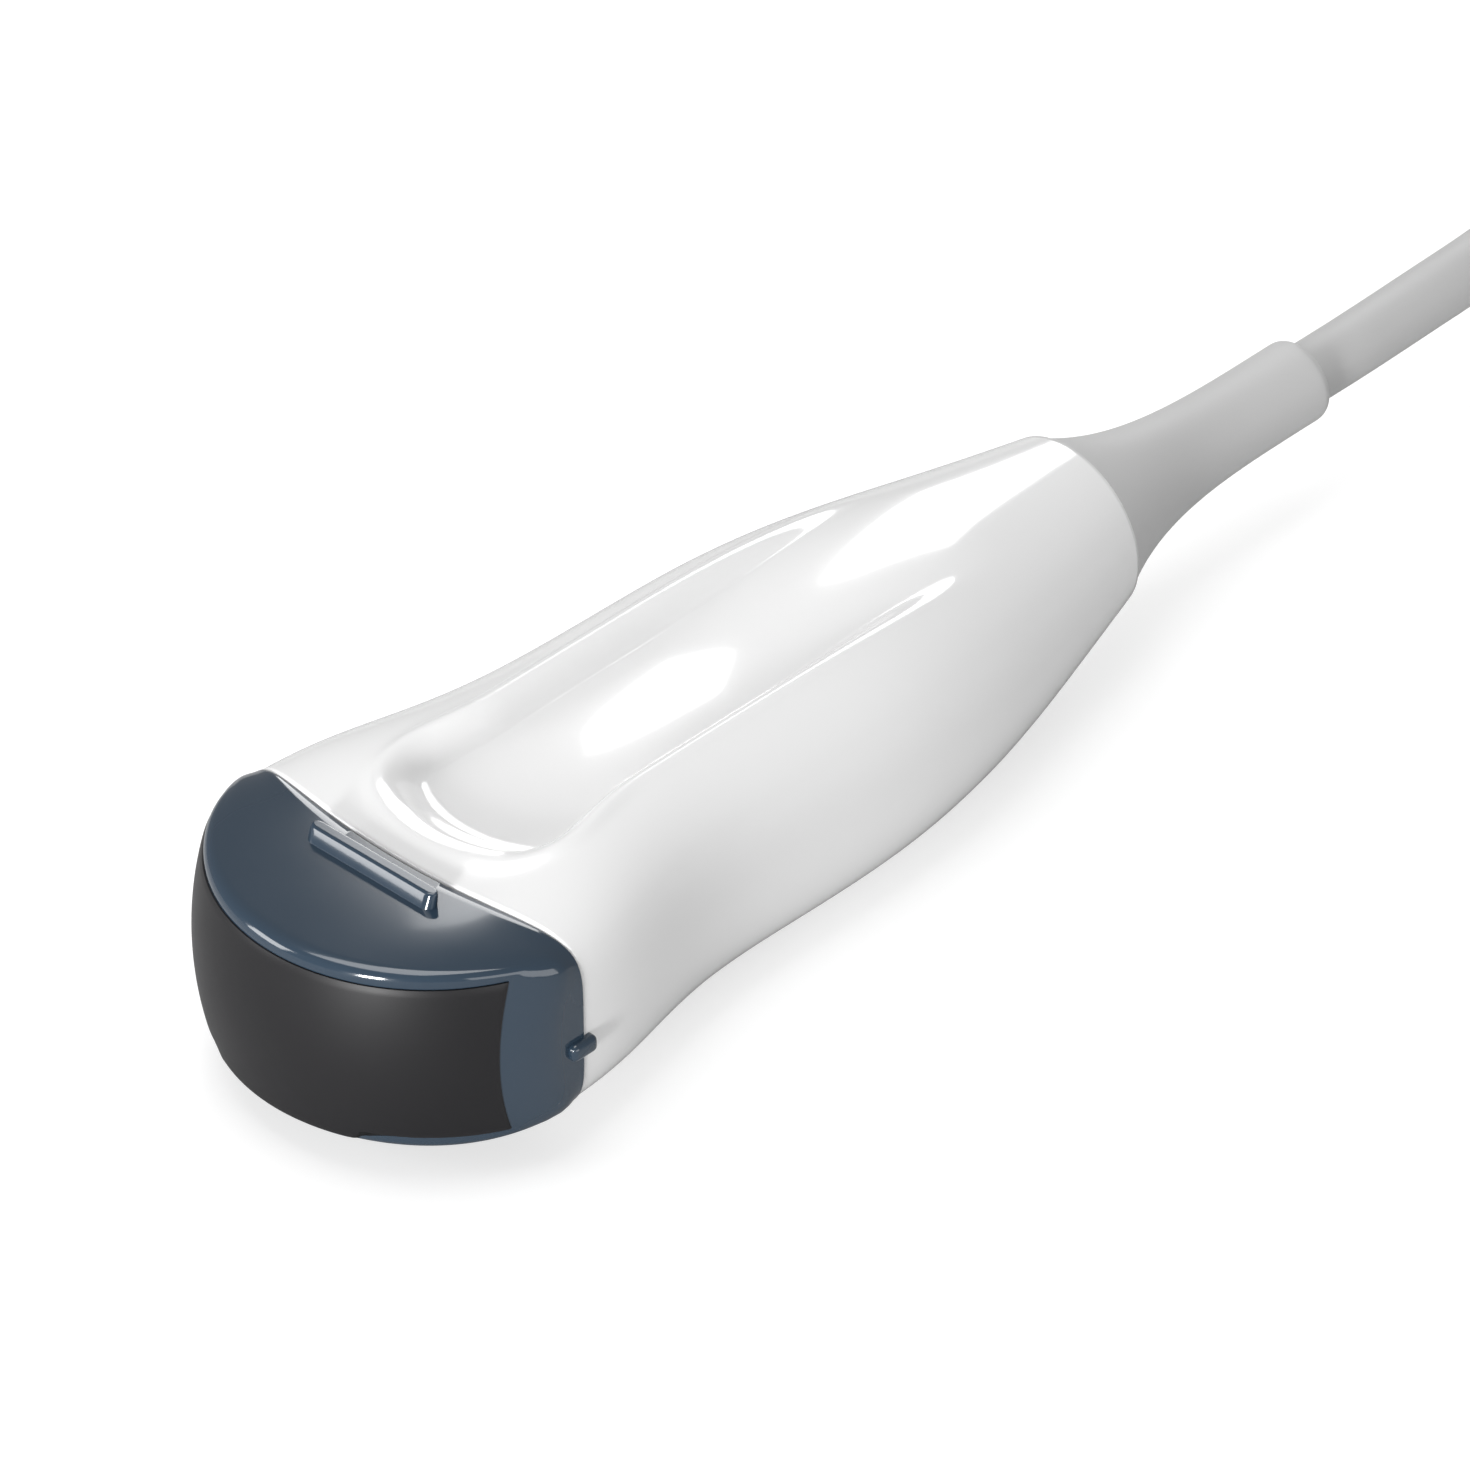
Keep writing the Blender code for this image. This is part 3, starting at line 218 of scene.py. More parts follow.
SHELL = surface("shell_white", (0.79, 0.79, 0.79), 0.16, mottle=0.008, grain=0.0004, bump=0.01,
                coat=0.5, coat_roughness=0.04, spread=0.02)
NAVY = surface("nose_navy", (0.021, 0.038, 0.060), 0.12, mottle=0.04, grain=0.0003, bump=0.01,
               coat=0.5, coat_roughness=0.05, spread=0.02)
SILICONE = surface("lens_silicone", (0.007, 0.0067, 0.0080), 0.42, mottle=0.08, grain=0.00015,
                   bump=0.04, shine=0.38)
JACKET = surface("cable_jacket", (0.47, 0.47, 0.47), 0.55, mottle=0.03, grain=0.00012, bump=0.12)
RELIEF = surface("relief_rubber", (0.50, 0.50, 0.50), 0.58, mottle=0.03, grain=0.00015, bump=0.12)
BOOT = surface("boot_rubber", (0.06, 0.06, 0.065), 0.6, mottle=0.08, grain=0.00015, bump=0.12)
STRAP = surface("tie_strap", (0.05, 0.05, 0.055), 0.75, mottle=0.2, mottle_size=0.0015, grain=0.0004,
                bump=0.5)
CASE = surface("connector_plastic", (0.58, 0.59, 0.60), 0.42, mottle=0.03, grain=0.0005, bump=0.2)
INSULATOR = surface("contact_block_plastic", (0.05, 0.05, 0.055), 0.5, mottle=0.1, bump=0.1)
METAL = surface("plated_metal", (0.62, 0.62, 0.64), 0.28, metallic=1.0, mottle=0.05)
STEEL = surface("screw_steel", (0.55, 0.55, 0.57), 0.3, metallic=1.0, mottle=0.05)
FRAME = surface("frame_plastic", (0.06, 0.06, 0.065), 0.6, mottle=0.1, grain=0.0003, bump=0.15)
BOARD = surface("circuit_board", (0.02, 0.16, 0.07), 0.35, mottle=0.25, mottle_size=0.003, bump=0.1)
CHIP = surface("component_black", (0.02, 0.02, 0.022), 0.5, mottle=0.15, bump=0.2)
FILM = surface("flex_film", (0.55, 0.25, 0.05), 0.3, mottle=0.15, mottle_size=0.004)
WIRES = surface("wire_bundle", (0.55, 0.28, 0.15), 0.45, mottle=0.3, mottle_size=0.001, grain=0.0005,
                bump=0.5)
RESIN = surface("matching_resin", (0.60, 0.54, 0.43), 0.5, mottle=0.08, bump=0.1)
CERAMIC = surface("piezo_ceramic", (0.70, 0.66, 0.55), 0.4, mottle=0.08, bump=0.1)
EPOXY = surface("backing_epoxy", (0.12, 0.11, 0.16), 0.65, mottle=0.2, mottle_size=0.002, bump=0.2)

# Each solid takes the first finish whose key its name starts with
NODE_FINISH = {
    "cable_clamp": FRAME, "inner_frame": FRAME, "interconnect_board": BOARD, "connector_board": BOARD,
    "board_plug": CHIP, "preamp_chip": CHIP, "board_screw": STEEL, "clamp_screw": STEEL,
    "flex_circuit": FILM, "wire_bundle": WIRES, "connector_wires": WIRES, "shield_crimp": METAL,
    "outer_matching": RESIN, "inner_matching": RESIN, "piezo_array": CERAMIC, "backing_block": EPOXY,
    "connector_boot": BOOT, "connector_shell": CASE, "contact_block": INSULATOR,
    "connector_collar": METAL, "hank_tie": STRAP, "cable": JACKET, "strain_relief": RELIEF,
    "handle_shell": SHELL, "nosepiece": NAVY, "acoustic_lens": SILICONE,
}


def dress_nodes():
    for name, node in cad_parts.items():
        finish = next(made for start, made in NODE_FINISH.items() if name.startswith(start))
        node.data.materials.clear()
        node.data.materials.append(finish)


# Mesh helpers
def add_mesh(name, bm, material, nodes=()):
    """Turns a bmesh into a smooth-shaded piece that rides on the part and replaces the named solids."""
    bmesh.ops.recalc_face_normals(bm, faces=bm.faces)
    mesh = bpy.data.meshes.new(name)
    bm.to_mesh(mesh)
    bm.free()
    obj = bpy.data.objects.new(name, mesh)
    bpy.context.scene.collection.objects.link(obj)
    mesh.materials.append(material)
    mesh.shade_smooth()
    mesh.set_sharp_from_angle(angle=math.radians(SHARP_ANGLE))
    settle(obj, nodes)
    return obj


def settle(obj, nodes):
    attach(obj, ROOT)
    if nodes:
        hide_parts(*nodes)


def loft(rows, closed_rows=True, closed_columns=False):
    """A surface through rows of points, each row running round the piece."""
    bm = bmesh.new()
    lines = [[bm.verts.new(point) for point in row] for row in rows]
    count = len(rows[0])
    steps = count if closed_rows else count - 1
    pairs = list(zip(lines[:-1], lines[1:]))
    if closed_columns:
        pairs.append((lines[-1], lines[0]))
    for low, high in pairs:
        for i in range(steps):
            j = (i + 1) % count
            bm.faces.new((low[i], high[i], high[j], low[j]))
    return bm


# Sections
def quarter(half_width, half_height, square, side_count, top_count):
    """A quarter of a superellipse, from the side's middle to the top's middle, evenly spaced."""
    def point(angle):
        power = 2.0 / square
        return half_width * math.cos(angle) ** power, half_height * math.sin(angle) ** power

    def spread(start, end, count):
        fine_steps = 400
        fine = [point(start + (end - start) * i / fine_steps) for i in range(fine_steps + 1)]
        run = [0.0]
        for a, b in zip(fine[:-1], fine[1:]):
            run.append(run[-1] + math.dist(a, b))
        found = []
        k = 0
        for i in range(count):
            target = run[-1] * i / count
            while run[k + 1] < target:
                k += 1
            part = (target - run[k]) / (run[k + 1] - run[k])
            found.append(tuple(u + (v - u) * part for u, v in zip(fine[k], fine[k + 1])))
        return found

    corner = math.pi / 4.0
    return spread(0.0, corner, side_count) + spread(corner, math.pi / 2.0, top_count)


def ring(half_width, top, bottom, square, low_square, side_count, top_count):
    """A closed section as (x, z) points, from +X over the top to -X and back underneath."""
    upper = quarter(half_width, top, square, side_count, top_count) + [(0.0, top)]
    lower = quarter(half_width, -bottom, low_square, side_count, top_count) + [(0.0, -bottom)]
    points = upper + [(-x, z) for x, z in reversed(upper[:-1])]
    points += [(-x, -z) for x, z in lower[1:]]
    points += [(x, -z) for x, z in reversed(lower[1:-1])]
    return points


def seam_at(x):
    """Where the bowed seam between nose and handle lies, as the distance s."""
    across = min(1.0, abs(x) / (HEAD_WIDTH / 2.0))
    return SEAM_SIDE - SEAM_BOW * (1.0 - across ** 2)


def ease(t):
    """A smooth step from 0 to 1."""
    t = min(1.0, max(0.0, t))
    return t * t * (3.0 - 2.0 * t)


# Head
def lens_radius(z):
    """The lens's radius in plan, which shrinks with its crown."""
    return LENS_RADIUS - LENS_CROWN * (z / WINDOW_HALF_HEIGHT) ** 2


def side_angle(z):
    """Where the window's bowed side edge is, as an angle from the probe's axis."""
    bow = 1.0 - (z / WINDOW_HALF_HEIGHT) ** 2
    return math.radians(WINDOW_ANGLE) - WINDOW_SIDE_BOW / LENS_RADIUS * bow


def window_foot(angle):
    """The window's lower edge, which wraps further under along its middle."""
    away = math.degrees(abs(angle)) - WRAP_ANGLE
    return -WINDOW_HALF_HEIGHT - WRAP_DROP * (1.0 - ease((away + WRAP_FADE) / WRAP_FADE))


def window_outline(inset, side_count, top_count):
    """The lens window's outline, point for point like ring(), inset behind the lens."""
    corner = side_angle(WINDOW_HALF_HEIGHT)
    heights = [WINDOW_HALF_HEIGHT * i / side_count for i in range(side_count)]
    upper = [(side_angle(z), z) for z in heights]
    upper += [(corner * (1.0 - i / top_count), WINDOW_HALF_HEIGHT) for i in range(top_count + 1)]
    outline = upper + [(-angle, z) for angle, z in reversed(upper[:-1])]
    lower = [(angle, -z) for angle, z in upper[:side_count]]
    lower += [(angle, window_foot(angle)) for angle, _ in upper[side_count:]]
    outline += [(-angle, z) for angle, z in lower[1:]]
    outline += [(angle, z) for angle, z in reversed(lower[1:-1])]
    points = []
    for angle, z in outline:
        radius = lens_radius(z) - LENS_STEP - inset
        points.append((radius * math.sin(angle), z, LENS_RADIUS - radius * math.cos(angle), angle))
    return points


def nose_columns(inset, side_count, top_count, lip_steps, run_steps):
    """Lines from the window back to the seam, on the outside or inset by the wall."""
    half_height = HEAD_THICK / 2.0 - inset
    half_width = HEAD_WIDTH / 2.0 - inset
    front = ring(half_width, half_height, -half_height, FRONT_SQUARE, FRONT_SQUARE, side_count, top_count)
    rear = ring(half_width, half_height, -half_height, HEAD_SQUARE, HEAD_SQUARE, side_count, top_count)
    window = window_outline(inset, side_count, top_count)
    lip = max(LEAST_LIP, LIP - inset)
    columns = []
    for (x0, z0), (x1, z1), (xw, zw, sw, angle) in zip(front, rear, window):
        start = Vector((xw, zw, sw))
        low_z = z0 * (1.0 - NOSE_DOME / half_height)
        corner = Vector((x0, low_z, sw + (abs(x0) - abs(xw)) * math.tan(abs(angle))))
        land = start.lerp(corner, LAND_SHARE)
        back = Vector((x0, low_z, corner.z + lip))
        column = [start, start.lerp(land, 0.5)]
        for k in range(lip_steps + 1):
            t = k / lip_steps
            column.append(land * (1.0 - t) ** 2 + corner * 2.0 * t * (1.0 - t) + back * t * t)
        seam = Vector((x1, z1, seam_at(x1)))
        for k in range(1, run_steps + 1):
            t = k / run_steps
            bend = ease(t)
            dip = 1.0 - NOSE_DOME / half_height * (1.0 - t) ** 2
            column.append(Vector((back.x + (seam.x - back.x) * bend,
                                  (z0 + (z1 - z0) * bend) * dip,
                                  back.z + (seam.z - back.z) * t)))
        if not inset:
            last = column[-1]
            inward = Vector((last.x, last.y, 0.0)).normalized() * SEAM_GROOVE
            column[-1] = last - Vector((0.0, 0.0, SEAM_GROOVE))
            column.append(last - inward)
        columns.append(column)
    return columns


def make_nosepiece():
    """One navy moulding: lip round the window, rounded front, rail and side nubs."""
    side_count, top_count = 16, 64
    outside = nose_columns(0.0, side_count, top_count, 10, 12)
    inside = nose_columns(NOSE_WALL, side_count, top_count, 4, 4)
    columns = [[place(q.x, q.z, q.y) for q in out + back[::-1]] for out, back in zip(outside, inside)]
    rows = [list(row) for row in zip(*columns)]
    add_mesh("nosepiece_skin", loft(rows, closed_columns=True), NAVY, ("nosepiece",))
    make_rail(SEAM_SIDE - SEAM_BOW - RAIL_DEPTH - RAIL_TO_SEAM, HEAD_THICK / 2.0)
    nub_middle = SEAM_SIDE + NUB_OVER_SEAM - NUB_LENGTH / 2.0
    for label, side in (("left", -1.0), ("right", 1.0)):
        across = side * (HEAD_WIDTH / 2.0 + NUB_REACH - NUB_WIDTH / 2.0)
        rounded_box(f"side_nub_{label}", (across, nub_middle, -NUB_DROP),
                    (NUB_WIDTH, NUB_LENGTH, NUB_HEIGHT), NUB_ROUND, NAVY)


def make_rail(start, top):
    """The low guide rail: round ends in plan and a fine radius along its top edge."""
    half_depth = RAIL_DEPTH / 2.0
    straight = RAIL_LENGTH / 2.0 - half_depth
    turn_steps, edge_steps = 24, 6
    turn = [math.pi * k / turn_steps for k in range(turn_steps + 1)]
    outline = [(straight + half_depth * math.sin(a), -half_depth * math.cos(a)) for a in turn]
    outline += [(-straight - half_depth * math.sin(a), half_depth * math.cos(a)) for a in turn]
    levels = [(0.0, -RAIL_SINK), (0.0, RAIL_HEIGHT - RAIL_EDGE)]
    levels += [(RAIL_EDGE * (1.0 - math.cos(a)), RAIL_HEIGHT - RAIL_EDGE * (1.0 - math.sin(a)))
               for a in (math.pi / 2.0 * k / edge_steps for k in range(1, edge_steps + 1))]
    levels.append((RAIL_EDGE + RAIL_CREASE, RAIL_HEIGHT))
    rows = []
    for inset, rise in levels:
        keep = 1.0 - inset / half_depth
        lean = RAIL_LEAN * max(0.0, rise)
        rows.append([place(math.copysign(straight, x) + (x - math.copysign(straight, x)) * keep,
                           start + half_depth + y * keep + lean * (0.5 - 0.5 * y / half_depth), top + rise)
                     for x, y in outline])
    bm = loft(rows)
    bm.verts.ensure_lookup_table()
    count = len(outline)
    bm.faces.new([bm.verts[i] for i in range(count)])
    bm.faces.new([bm.verts[-count + i] for i in range(count)])
    add_mesh("guide_rail", bm, NAVY)


def rounded_box(name, centre, size, radius, material):
    """A block with all its edges rounded, placed in the probe's own measure."""
    bm = bmesh.new()
    bmesh.ops.create_cube(bm, size=1.0)
    middle = place(*centre)
    for vert in bm.verts:
        vert.co = middle + Vector((vert.co.x * size[0], vert.co.y * size[1], vert.co.z * size[2])) * MM
    bmesh.ops.bevel(bm, geom=bm.edges[:] + bm.verts[:], offset=radius * MM, segments=5, profile=0.5,
                    affect="EDGES")
    add_mesh(name, bm, material)


def make_lens():
    """The charcoal lens: convex in plan, slightly crowned from top to bottom, rounded at its rim."""
    top = WINDOW_HALF_HEIGHT - LENS_GAP
    back = LENS_RADIUS - LENS_CROWN - LENS_THICK
    levels, segments, back_step = 48, 200, 8
    rows = []
    for k in range(levels + 1):
        row = []
        level = k / levels
        reach = side_angle(top * (2.0 * level - 1.0)) - LENS_GAP / LENS_RADIUS
        across = [reach * (1.0 - 2.0 * i / segments) for i in range(segments + 1)]
        for a in across:
            foot = window_foot(a) + LENS_GAP
            z = foot + (top - foot) * level
            rim = min(top - z, z - foot, (reach - abs(a)) * LENS_RADIUS)
            radius = lens_radius(z) - LENS_RIM * (1.0 - min(1.0, rim / LENS_RIM_WIDTH)) ** 2
            row.append(place(radius * math.sin(a), LENS_RADIUS - radius * math.cos(a), z))
        for a in across[::-back_step]:
            foot = window_foot(a) + LENS_GAP
            z = foot + (top - foot) * level
            row.append(place(back * math.sin(a), LENS_RADIUS - back * math.cos(a), z))
        rows.append(row)
    bm = loft(rows)
    bm.verts.ensure_lookup_table()
    count = len(rows[0])
    bm.faces.new([bm.verts[i] for i in range(count)])
    bm.faces.new([bm.verts[-count + i] for i in range(count)])
    add_mesh("lens_skin", bm, SILICONE, ("acoustic_lens",))


# Handle
def handle_table():
    """The handle's sections from the nose's seam to the tail, as HANDLE_SECTIONS has them."""
    head = (SEAM_SIDE, HEAD_WIDTH / 2.0, HEAD_THICK / 2.0, -HEAD_THICK / 2.0, HEAD_SQUARE, HEAD_SQUARE)
    nose = (SEAM_SIDE - SEAM_BOW,) + head[1:]
    tail = (HANDLE_END, TAIL_RADIUS, TAIL_RADIUS, -TAIL_RADIUS, 2.0, 2.0)
    return [nose, head] + HANDLE_SECTIONS + [tail]


def table_row(table, s):
    """A row of the handle's table at distance s, through a smooth curve."""
    last = len(table) - 1
    k = max(i for i in range(last) if table[i][0] <= s or i == 0)
    rows = [table[max(k - 1, 0)], table[k], table[k + 1], table[min(k + 2, last)]]
    span = rows[2][0] - rows[1][0]
    t = (s - rows[1][0]) / span

    def slope(before, after, column):
        return (after[column] - before[column]) / max(after[0] - before[0], 1e-6) * span

    result = []
    for column in range(1, len(rows[0])):
        p1, p2 = rows[1][column], rows[2][column]
        m1, m2 = slope(rows[0], rows[2], column), slope(rows[1], rows[3], column)
        result.append(p1 * (2 * t ** 3 - 3 * t ** 2 + 1) + m1 * (t ** 3 - 2 * t ** 2 + t)
                      + p2 * (3 * t ** 2 - 2 * t ** 3) + m2 * (t ** 3 - t ** 2))
    return result


def fair_table():
    """The handle's sections every half millimetre, faired so that reflections run through."""
    table = handle_table()
    first, last = table[0][0], table[-1][0]
    count = int((last - first) * 2.0)
    rows = [table_row(table, first + (last - first) * i / count) for i in range(count + 1)]
    for _ in range(FAIRING_PASSES):
        for i in range(1, count):
            span = min(i, count - i, 2)
            near = rows[i - span:i + span + 1]
            rows[i] = [sum(column) / len(near) for column in zip(*near)]
    return first, last, rows


def faired(table, s):
    """The faired section at distance s."""
    first, last, rows = table
    at = min(max((s - first) / (last - first), 0.0), 1.0) * (len(rows) - 1)
    k = min(int(at), len(rows) - 2)
    return [a + (b - a) * (at - k) for a, b in zip(rows[k], rows[k + 1])]


def dish_drop(x, s):
    """How far the thumb dish lowers the top surface at (x, s), negative on its raised rim."""
    narrow = ease((s - DISH_START) / DISH_NARROWING)
    half = DISH_FRONT_HALF_WIDTH + (DISH_HALF_WIDTH - DISH_FRONT_HALF_WIDTH) * narrow
    front = DISH_START + DISH_FRONT_BOW * (x / half) ** 2
    fade = 1.0 - ease((s - (DISH_START + DISH_END) / 2.0) / ((DISH_END - DISH_START) / 2.0))
    wall = DISH_NEAR_WALL + (DISH_WALL - DISH_NEAR_WALL) * narrow
    side, ahead = (half - abs(x)) / wall, (s - front) / DISH_FRONT_WALL
    if side < DISH_CORNER and ahead < DISH_CORNER:
        edge = DISH_CORNER - math.hypot(DISH_CORNER - side, DISH_CORNER - ahead)
    else:
        edge = min(side, ahead)
    drop = DISH_DEPTH * ease(edge) * fade
    rim = DISH_RIM * math.exp(-((edge + DISH_RIM_PLACE) / DISH_RIM_SPREAD) ** 2)
    return drop - rim * fade * ease((s - SEAM_SIDE + SEAM_BOW) / DISH_RIM_START)


def make_handle():
    """The white handle shell with its thumb dish, thickened inwards by the wall."""
    table = fair_table()
    stations, side_count, top_count = 210, 16, 50
    rows = []
    for n in range(stations + 1):
        part = n / stations
        centre_s = SEAM_SIDE + (HANDLE_END - SEAM_SIDE) * part
        row = []
        for x0, z0 in ring(*faired(table, centre_s), side_count, top_count):
            begin = seam_at(x0) + SEAM_GROOVE
            s = begin + (HANDLE_END - begin) * part
            drop = dish_drop(x0, s) if z0 > 0.0 else 0.0
            weight = ease(z0 / max(1.0, faired(table, s)[1]) * DISH_BLEND)
            row.append(place(x0, s, z0 - drop * weight))
        rows.append(row)
    bm = loft(rows)
    shell = add_mesh("handle_skin", bm, SHELL, ("handle_shell",))
    wall = shell.modifiers.new("wall", "SOLIDIFY")
    wall.thickness = HANDLE_WALL * MM
    wall.offset = -1.0


# Strain relief and cable
def turned_y(name, profile, steps, material, nodes):
    """A closed profile of (radius, s) pairs turned round the cable's axis."""
    rows = []
    for radius, s in profile:
        rows.append([place(radius * math.cos(2.0 * math.pi * k / steps), s,
                           radius * math.sin(2.0 * math.pi * k / steps)) for k in range(steps)])
    add_mesh(name, loft(rows, closed_columns=True), material, nodes)


def make_relief():
    """The tapered strain relief with its collar inside the handle and its rounded end."""
    bore = CABLE_DIAMETER / 2.0 + RELIEF_BORE_GAP
    mouth = TAIL_RADIUS - HANDLE_WALL - RELIEF_MOUTH_GAP
    base = TAIL_RADIUS - RELIEF_STEP
    face = HANDLE_END + RELIEF_FACE_GAP
    edge = HANDLE_END + RELIEF_FACE_GAP + RELIEF_EDGE
    start = HANDLE_END - RELIEF_COLLAR_LENGTH
    end = HANDLE_END + RELIEF_LENGTH
    profile = [(bore, start), (mouth, start), (mouth, face), (base - RELIEF_EDGE, face)]
    steps, round_steps = 60, 8
    for k in range(steps + 1):
        u = k / steps
        s = edge + (end - RELIEF_ROUND - edge) * u
        profile.append((RELIEF_END_RADIUS + (base - RELIEF_END_RADIUS) * (1.0 - u) ** RELIEF_TAPER, s))
    for k in range(1, round_steps + 1):
        a = math.pi / 2.0 * k / round_steps
        profile.append((RELIEF_END_RADIUS - RELIEF_ROUND * RELIEF_ROUND_DEPTH * (1.0 - math.cos(a)),
                        end - RELIEF_ROUND * (1.0 - math.sin(a))))
    profile.append((bore, end))
    turned_y("relief_skin", profile, 128, RELIEF, ("strain_relief",))


def smooth_path(points, step):
    """Points a step apart along a smooth curve through the given ones."""
    dense_steps = 20
    dense = []
    ends = [points[0] * 2.0 - points[1]] + points + [points[-1] * 2.0 - points[-2]]
    for a, b, c, d in zip(ends[:-3], ends[1:-2], ends[2:-1], ends[3:]):
        for k in range(dense_steps):
            t = k / dense_steps
            dense.append(0.5 * ((2.0 * b) + (c - a) * t + (2.0 * a - 5.0 * b + 4.0 * c - d) * t ** 2
                                + (3.0 * b - a - 3.0 * c + d) * t ** 3))
    dense.append(points[-1].copy())
    run = [0.0]
    for a, b in zip(dense[:-1], dense[1:]):
        run.append(run[-1] + (b - a).length)
    count = max(2, round(run[-1] / step))
    found = []
    k = 0
    for i in range(count + 1):
        target = run[-1] * i / count
        while k < len(run) - 2 and run[k + 1] < target:
            k += 1
        part = (target - run[k]) / (run[k + 1] - run[k])
        found.append(dense[k].lerp(dense[k + 1], min(1.0, part)))
    return found


def waist_at(s):
    """How far the tie draws each side of the hank inwards at distance s."""
    away = abs(s - HANK_START - HANK_RUN / 2.0)
    return HANK_WAIST * ease((WAIST_REACH - away) / (WAIST_REACH - WAIST_FLAT))


def hank_points():
    """The stored cable's runs and folds; each turn moves to the next lane on its near fold."""
    low = TIE_THICK + GAP + CABLE_DIAMETER / 2.0
    run_steps, fold_steps = 6, 14
    shift_length = math.radians(SHIFT_LENGTH)
    points = []

    def add(side, s, radius, height):
        points.append(table_point(HANK_MIDDLE + side * (radius - waist_at(s)), s, height))

    def level(turn):
        layer, lane = TURN_LANES[turn]
        return HANK_FOLD_RADIUS + lane * CABLE_DIAMETER, low + layer * HANK_LAYER_RISE

    last = len(TURN_LANES) - 1
    for turn in range(last + 1):
        radius, height = level(turn)
        for k in range(run_steps):
            add(-1.0, HANK_START + HANK_RUN * k / run_steps, radius, height)
        if turn == last:
            break
        for k in range(fold_steps):
            a = math.pi * k / fold_steps
            points.append(table_point(HANK_MIDDLE - radius * math.cos(a),
                                      HANK_START + HANK_RUN + radius * math.sin(a), height))
        next_radius, next_height = level(turn + 1)
        begin = math.radians(SHIFT_START - SHIFT_START_STEP * turn)

        def moved(a):
            part = ease((a - begin) / shift_length)
            return radius + (next_radius - radius) * part, height + (next_height - height) * part

        for k in range(run_steps):
            left_to_go = HANK_RUN * (1.0 - k / run_steps)
            r, h = moved(-left_to_go / HANK_FOLD_RADIUS)
            add(1.0, HANK_START + left_to_go, r, h)
        for k in range(fold_steps):
            a = math.pi * k / fold_steps
            r, h = moved(a)
            points.append(table_point(HANK_MIDDLE + r * math.cos(a), HANK_START - r * math.sin(a), h))
    return points


def make_cable():
    """The whole cable as one tube, from inside the strain relief through the hank to its boot."""
    lead = [place(*point) for point in CABLE_LEAD]
    tail = [table_point(x, HANK_START + HANK_RUN + past, height) for x, past, height in CABLE_TAIL]
    points = smooth_path(lead + hank_points() + tail, CABLE_STEP * MM)
    curve = bpy.data.curves.new("cable", "CURVE")
    curve.dimensions = "3D"
    curve.bevel_depth = CABLE_DIAMETER / 2.0 * MM
    curve.bevel_resolution = 6
    curve.use_fill_caps = True
    spline = curve.splines.new("POLY")
    spline.points.add(len(points) - 1)
    for point, co in zip(spline.points, points):
        point.co = (*co, 1.0)
    spline.use_smooth = True
    cable = bpy.data.objects.new("cable", curve)
    bpy.context.scene.collection.objects.link(cable)
    curve.materials.append(JACKET)
    settle(cable, ("cable_lead", "cable_hank", "cable_tail"))


# Camera, floor and light; angles in degrees, LOOK_AT in the probe's own measure, the rest in metres
VIEW_AZIMUTH = 44.68
VIEW_ELEVATION = 37.3
VIEW_ROLL = -0.69
VIEW_DISTANCE = 3.607
VIEW_FOCAL_PIXELS = 36110.0
PHOTO_WIDTH = 1470.0
LOOK_AT = (0.87, 66.0, 0.74)
SENSOR_WIDTH = 36.0
STUDIO_CENTRE = (0.0, -0.02, 0.01)
# Each lamp as its name, direction, distance, size and brightness, where 1 is a white surface
SOFTBOXES = [
    ("overhead", (-0.12, 0.0, 1.0), 1.5, (1.0, 1.0), 3.6),
    ("rear_softbox", (-0.541, 0.727, 0.423), 1.5, (0.44, 0.90), 5.0),
    ("front_left_strip", (-0.60, -0.77, 0.30), 1.5, (0.56, 0.72), 7.0),
    ("front_low_strip", (0.27, -0.96, 0.12), 1.3, (0.24, 0.36), 62.0),
    ("right_fill", (0.95, -0.05, 0.22), 1.6, (1.5, 0.65), 2.3),
]
FLOOR_HALF_SIZE = 0.6
FLOOR_HEIGHT = -0.0002
FLOOR_GREY = 0.5
FLOOR_LIFT = 0.6
WORLD_LIGHT = 0.31


def make_camera():
    """The photograph's view, fitted to the probe's edges."""
    a, e, r = (math.radians(v) for v in (VIEW_AZIMUTH, VIEW_ELEVATION, VIEW_ROLL))
    back = Vector((math.sin(a) * math.cos(e), -math.cos(a) * math.cos(e), math.sin(e)))
    right = Vector((math.cos(a), math.sin(a), 0.0))
    up = back.cross(right)
    turned_right = right * math.cos(r) + up * math.sin(r)
    turned_up = up * math.cos(r) - right * math.sin(r)
    data = bpy.data.cameras.new("camera")
    data.sensor_width = SENSOR_WIDTH
    data.lens = VIEW_FOCAL_PIXELS / PHOTO_WIDTH * data.sensor_width
    data.clip_end = 50.0
    camera = bpy.data.objects.new("camera", data)
    bpy.context.scene.collection.objects.link(camera)
    target = place(*LOOK_AT)
    matrix = camera.matrix_world.copy()
    for i, axis in enumerate((turned_right, turned_up, back)):
        for j in range(3):
            matrix[j][i] = axis[j]
    for j, value in enumerate(target + back * VIEW_DISTANCE):
        matrix[j][3] = value
    camera.matrix_world = matrix
    bpy.context.scene.camera = camera


def softbox(name, direction, distance, size, radiance):
    """A rectangular lamp at that distance from the probe, facing it."""
    data = bpy.data.lights.new(name, "AREA")
    data.shape = "RECTANGLE"
    data.size, data.size_y = size
    data.energy = radiance * math.pi * size[0] * size[1]
    lamp = bpy.data.objects.new(name, data)
    bpy.context.scene.collection.objects.link(lamp)
    away = Vector(direction).normalized()
    lamp.location = Vector(STUDIO_CENTRE) + away * distance
    lamp.rotation_euler = away.to_track_quat("Z", "Y").to_euler()


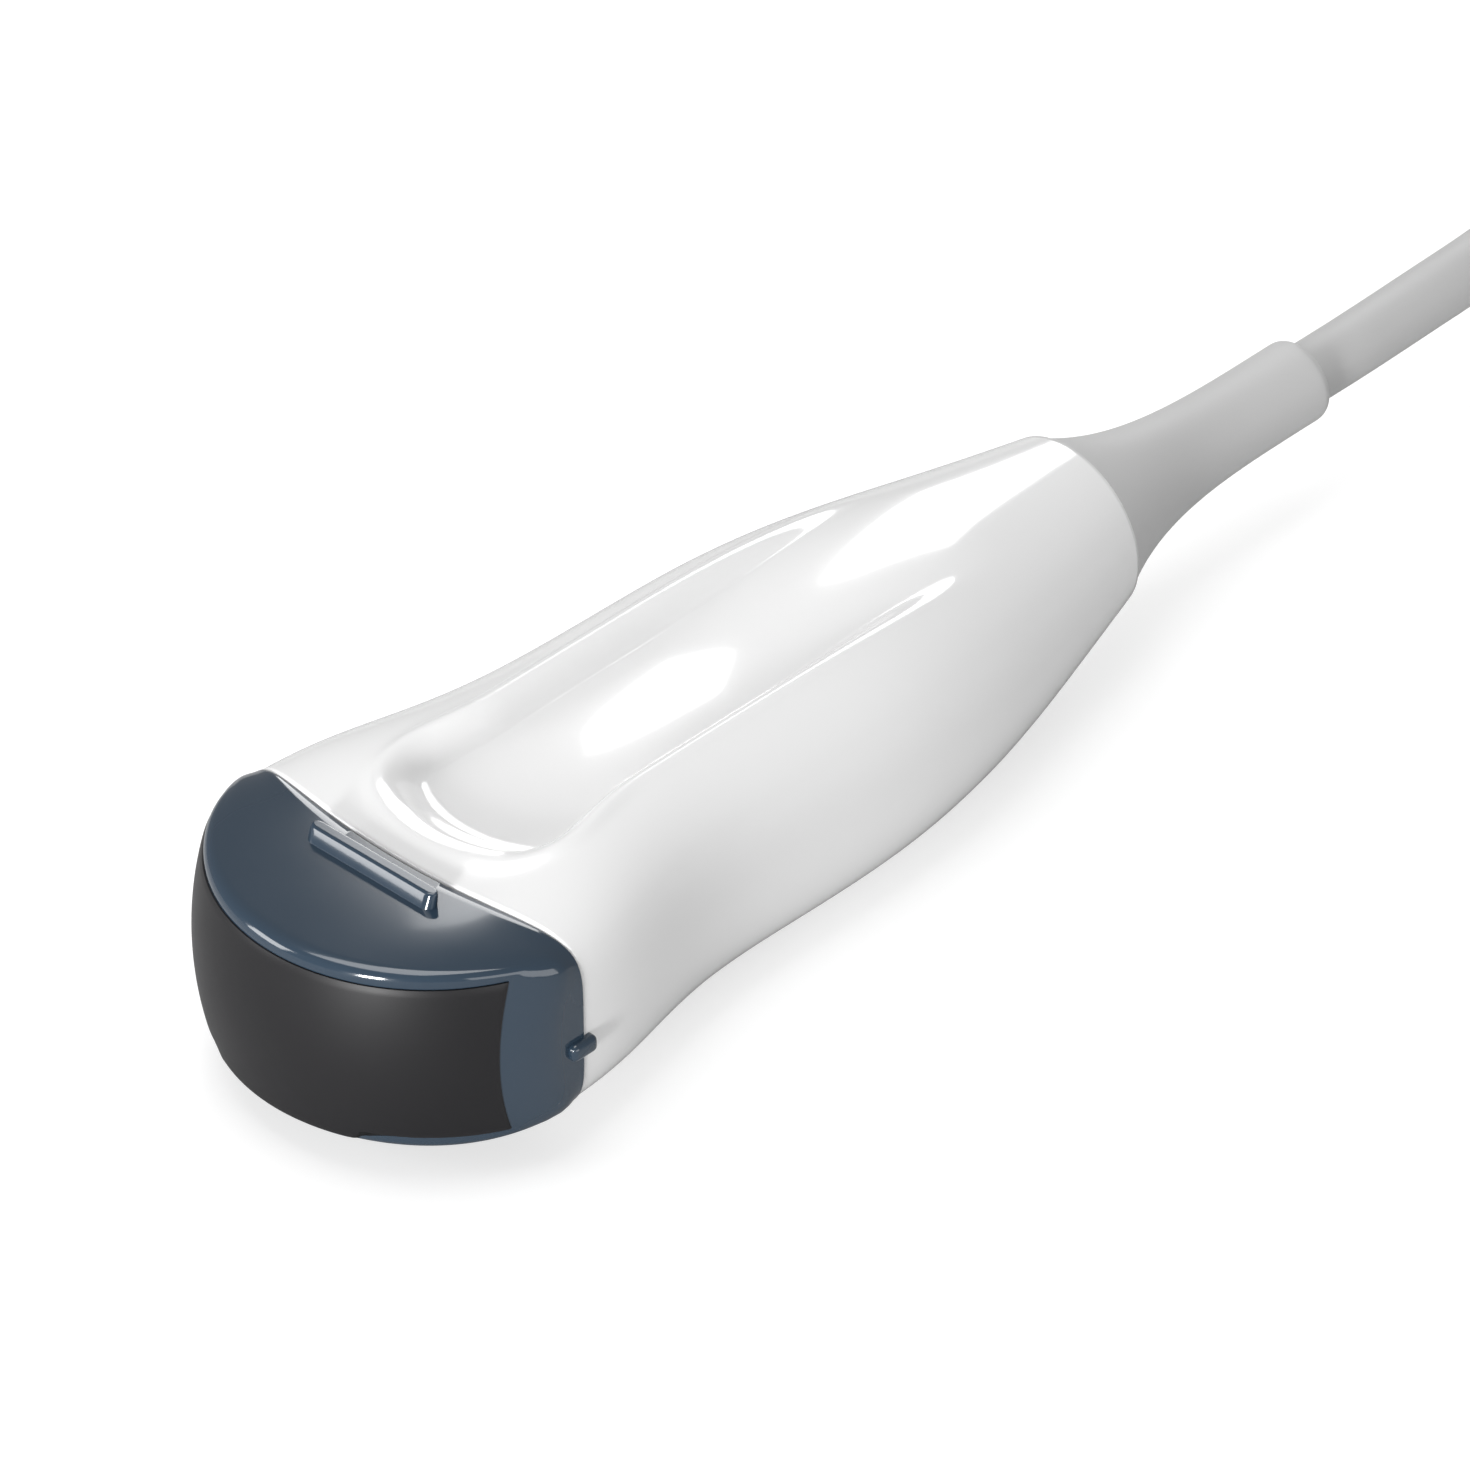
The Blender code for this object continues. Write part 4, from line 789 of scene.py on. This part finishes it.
def make_floor():
    """A floor that shows white to the camera and keeps the probe's shadow."""
    bm = bmesh.new()
    bmesh.ops.create_grid(bm, x_segments=1, y_segments=1, size=FLOOR_HALF_SIZE)
    mesh = bpy.data.meshes.new("floor")
    bm.to_mesh(mesh)
    bm.free()
    floor = bpy.data.objects.new("floor", mesh)
    floor.location = (0.0, 0.0, FLOOR_HEIGHT)
    bpy.context.scene.collection.objects.link(floor)
    made = bpy.data.materials.new("floor")
    made.use_nodes = True
    nodes, links = made.node_tree.nodes, made.node_tree.links
    shader = nodes["Principled BSDF"]
    shader.inputs["Base Color"].default_value = (FLOOR_GREY, FLOOR_GREY, FLOOR_GREY, 1.0)
    shader.inputs["Roughness"].default_value = 0.9
    path = nodes.new("ShaderNodeLightPath")
    lift = nodes.new("ShaderNodeMath")
    lift.operation = "MULTIPLY"
    lift.inputs[1].default_value = FLOOR_LIFT
    links.new(path.outputs["Is Camera Ray"], lift.inputs[0])
    links.new(lift.outputs[0], shader.inputs["Emission Strength"])
    shader.inputs["Emission Color"].default_value = (1.0, 1.0, 1.0, 1.0)
    mesh.materials.append(made)


def make_world():
    """White to the camera and an even dim light to everything else."""
    world = bpy.data.worlds.new("studio")
    bpy.context.scene.world = world
    world.use_nodes = True
    nodes, links = world.node_tree.nodes, world.node_tree.links
    nodes.clear()
    output = nodes.new("ShaderNodeOutputWorld")
    dim = nodes.new("ShaderNodeBackground")
    dim.inputs["Strength"].default_value = WORLD_LIGHT
    dim.inputs["Color"].default_value = (1.0, 1.0, 1.0, 1.0)
    bright = nodes.new("ShaderNodeBackground")
    bright.inputs["Color"].default_value = (1.0, 1.0, 1.0, 1.0)
    path = nodes.new("ShaderNodeLightPath")
    mix = nodes.new("ShaderNodeMixShader")
    links.new(path.outputs["Is Camera Ray"], mix.inputs["Fac"])
    links.new(dim.outputs[0], mix.inputs[1])
    links.new(bright.outputs[0], mix.inputs[2])
    links.new(mix.outputs[0], output.inputs["Surface"])


def light_scene():
    for name, direction, distance, size, radiance in SOFTBOXES:
        softbox(name, direction, distance, size, radiance)
    bpy.context.scene.view_settings.view_transform = "Standard"


dress_nodes()
make_nosepiece()
make_lens()
make_handle()
make_relief()
make_cable()
make_camera()
make_floor()
make_world()
light_scene()
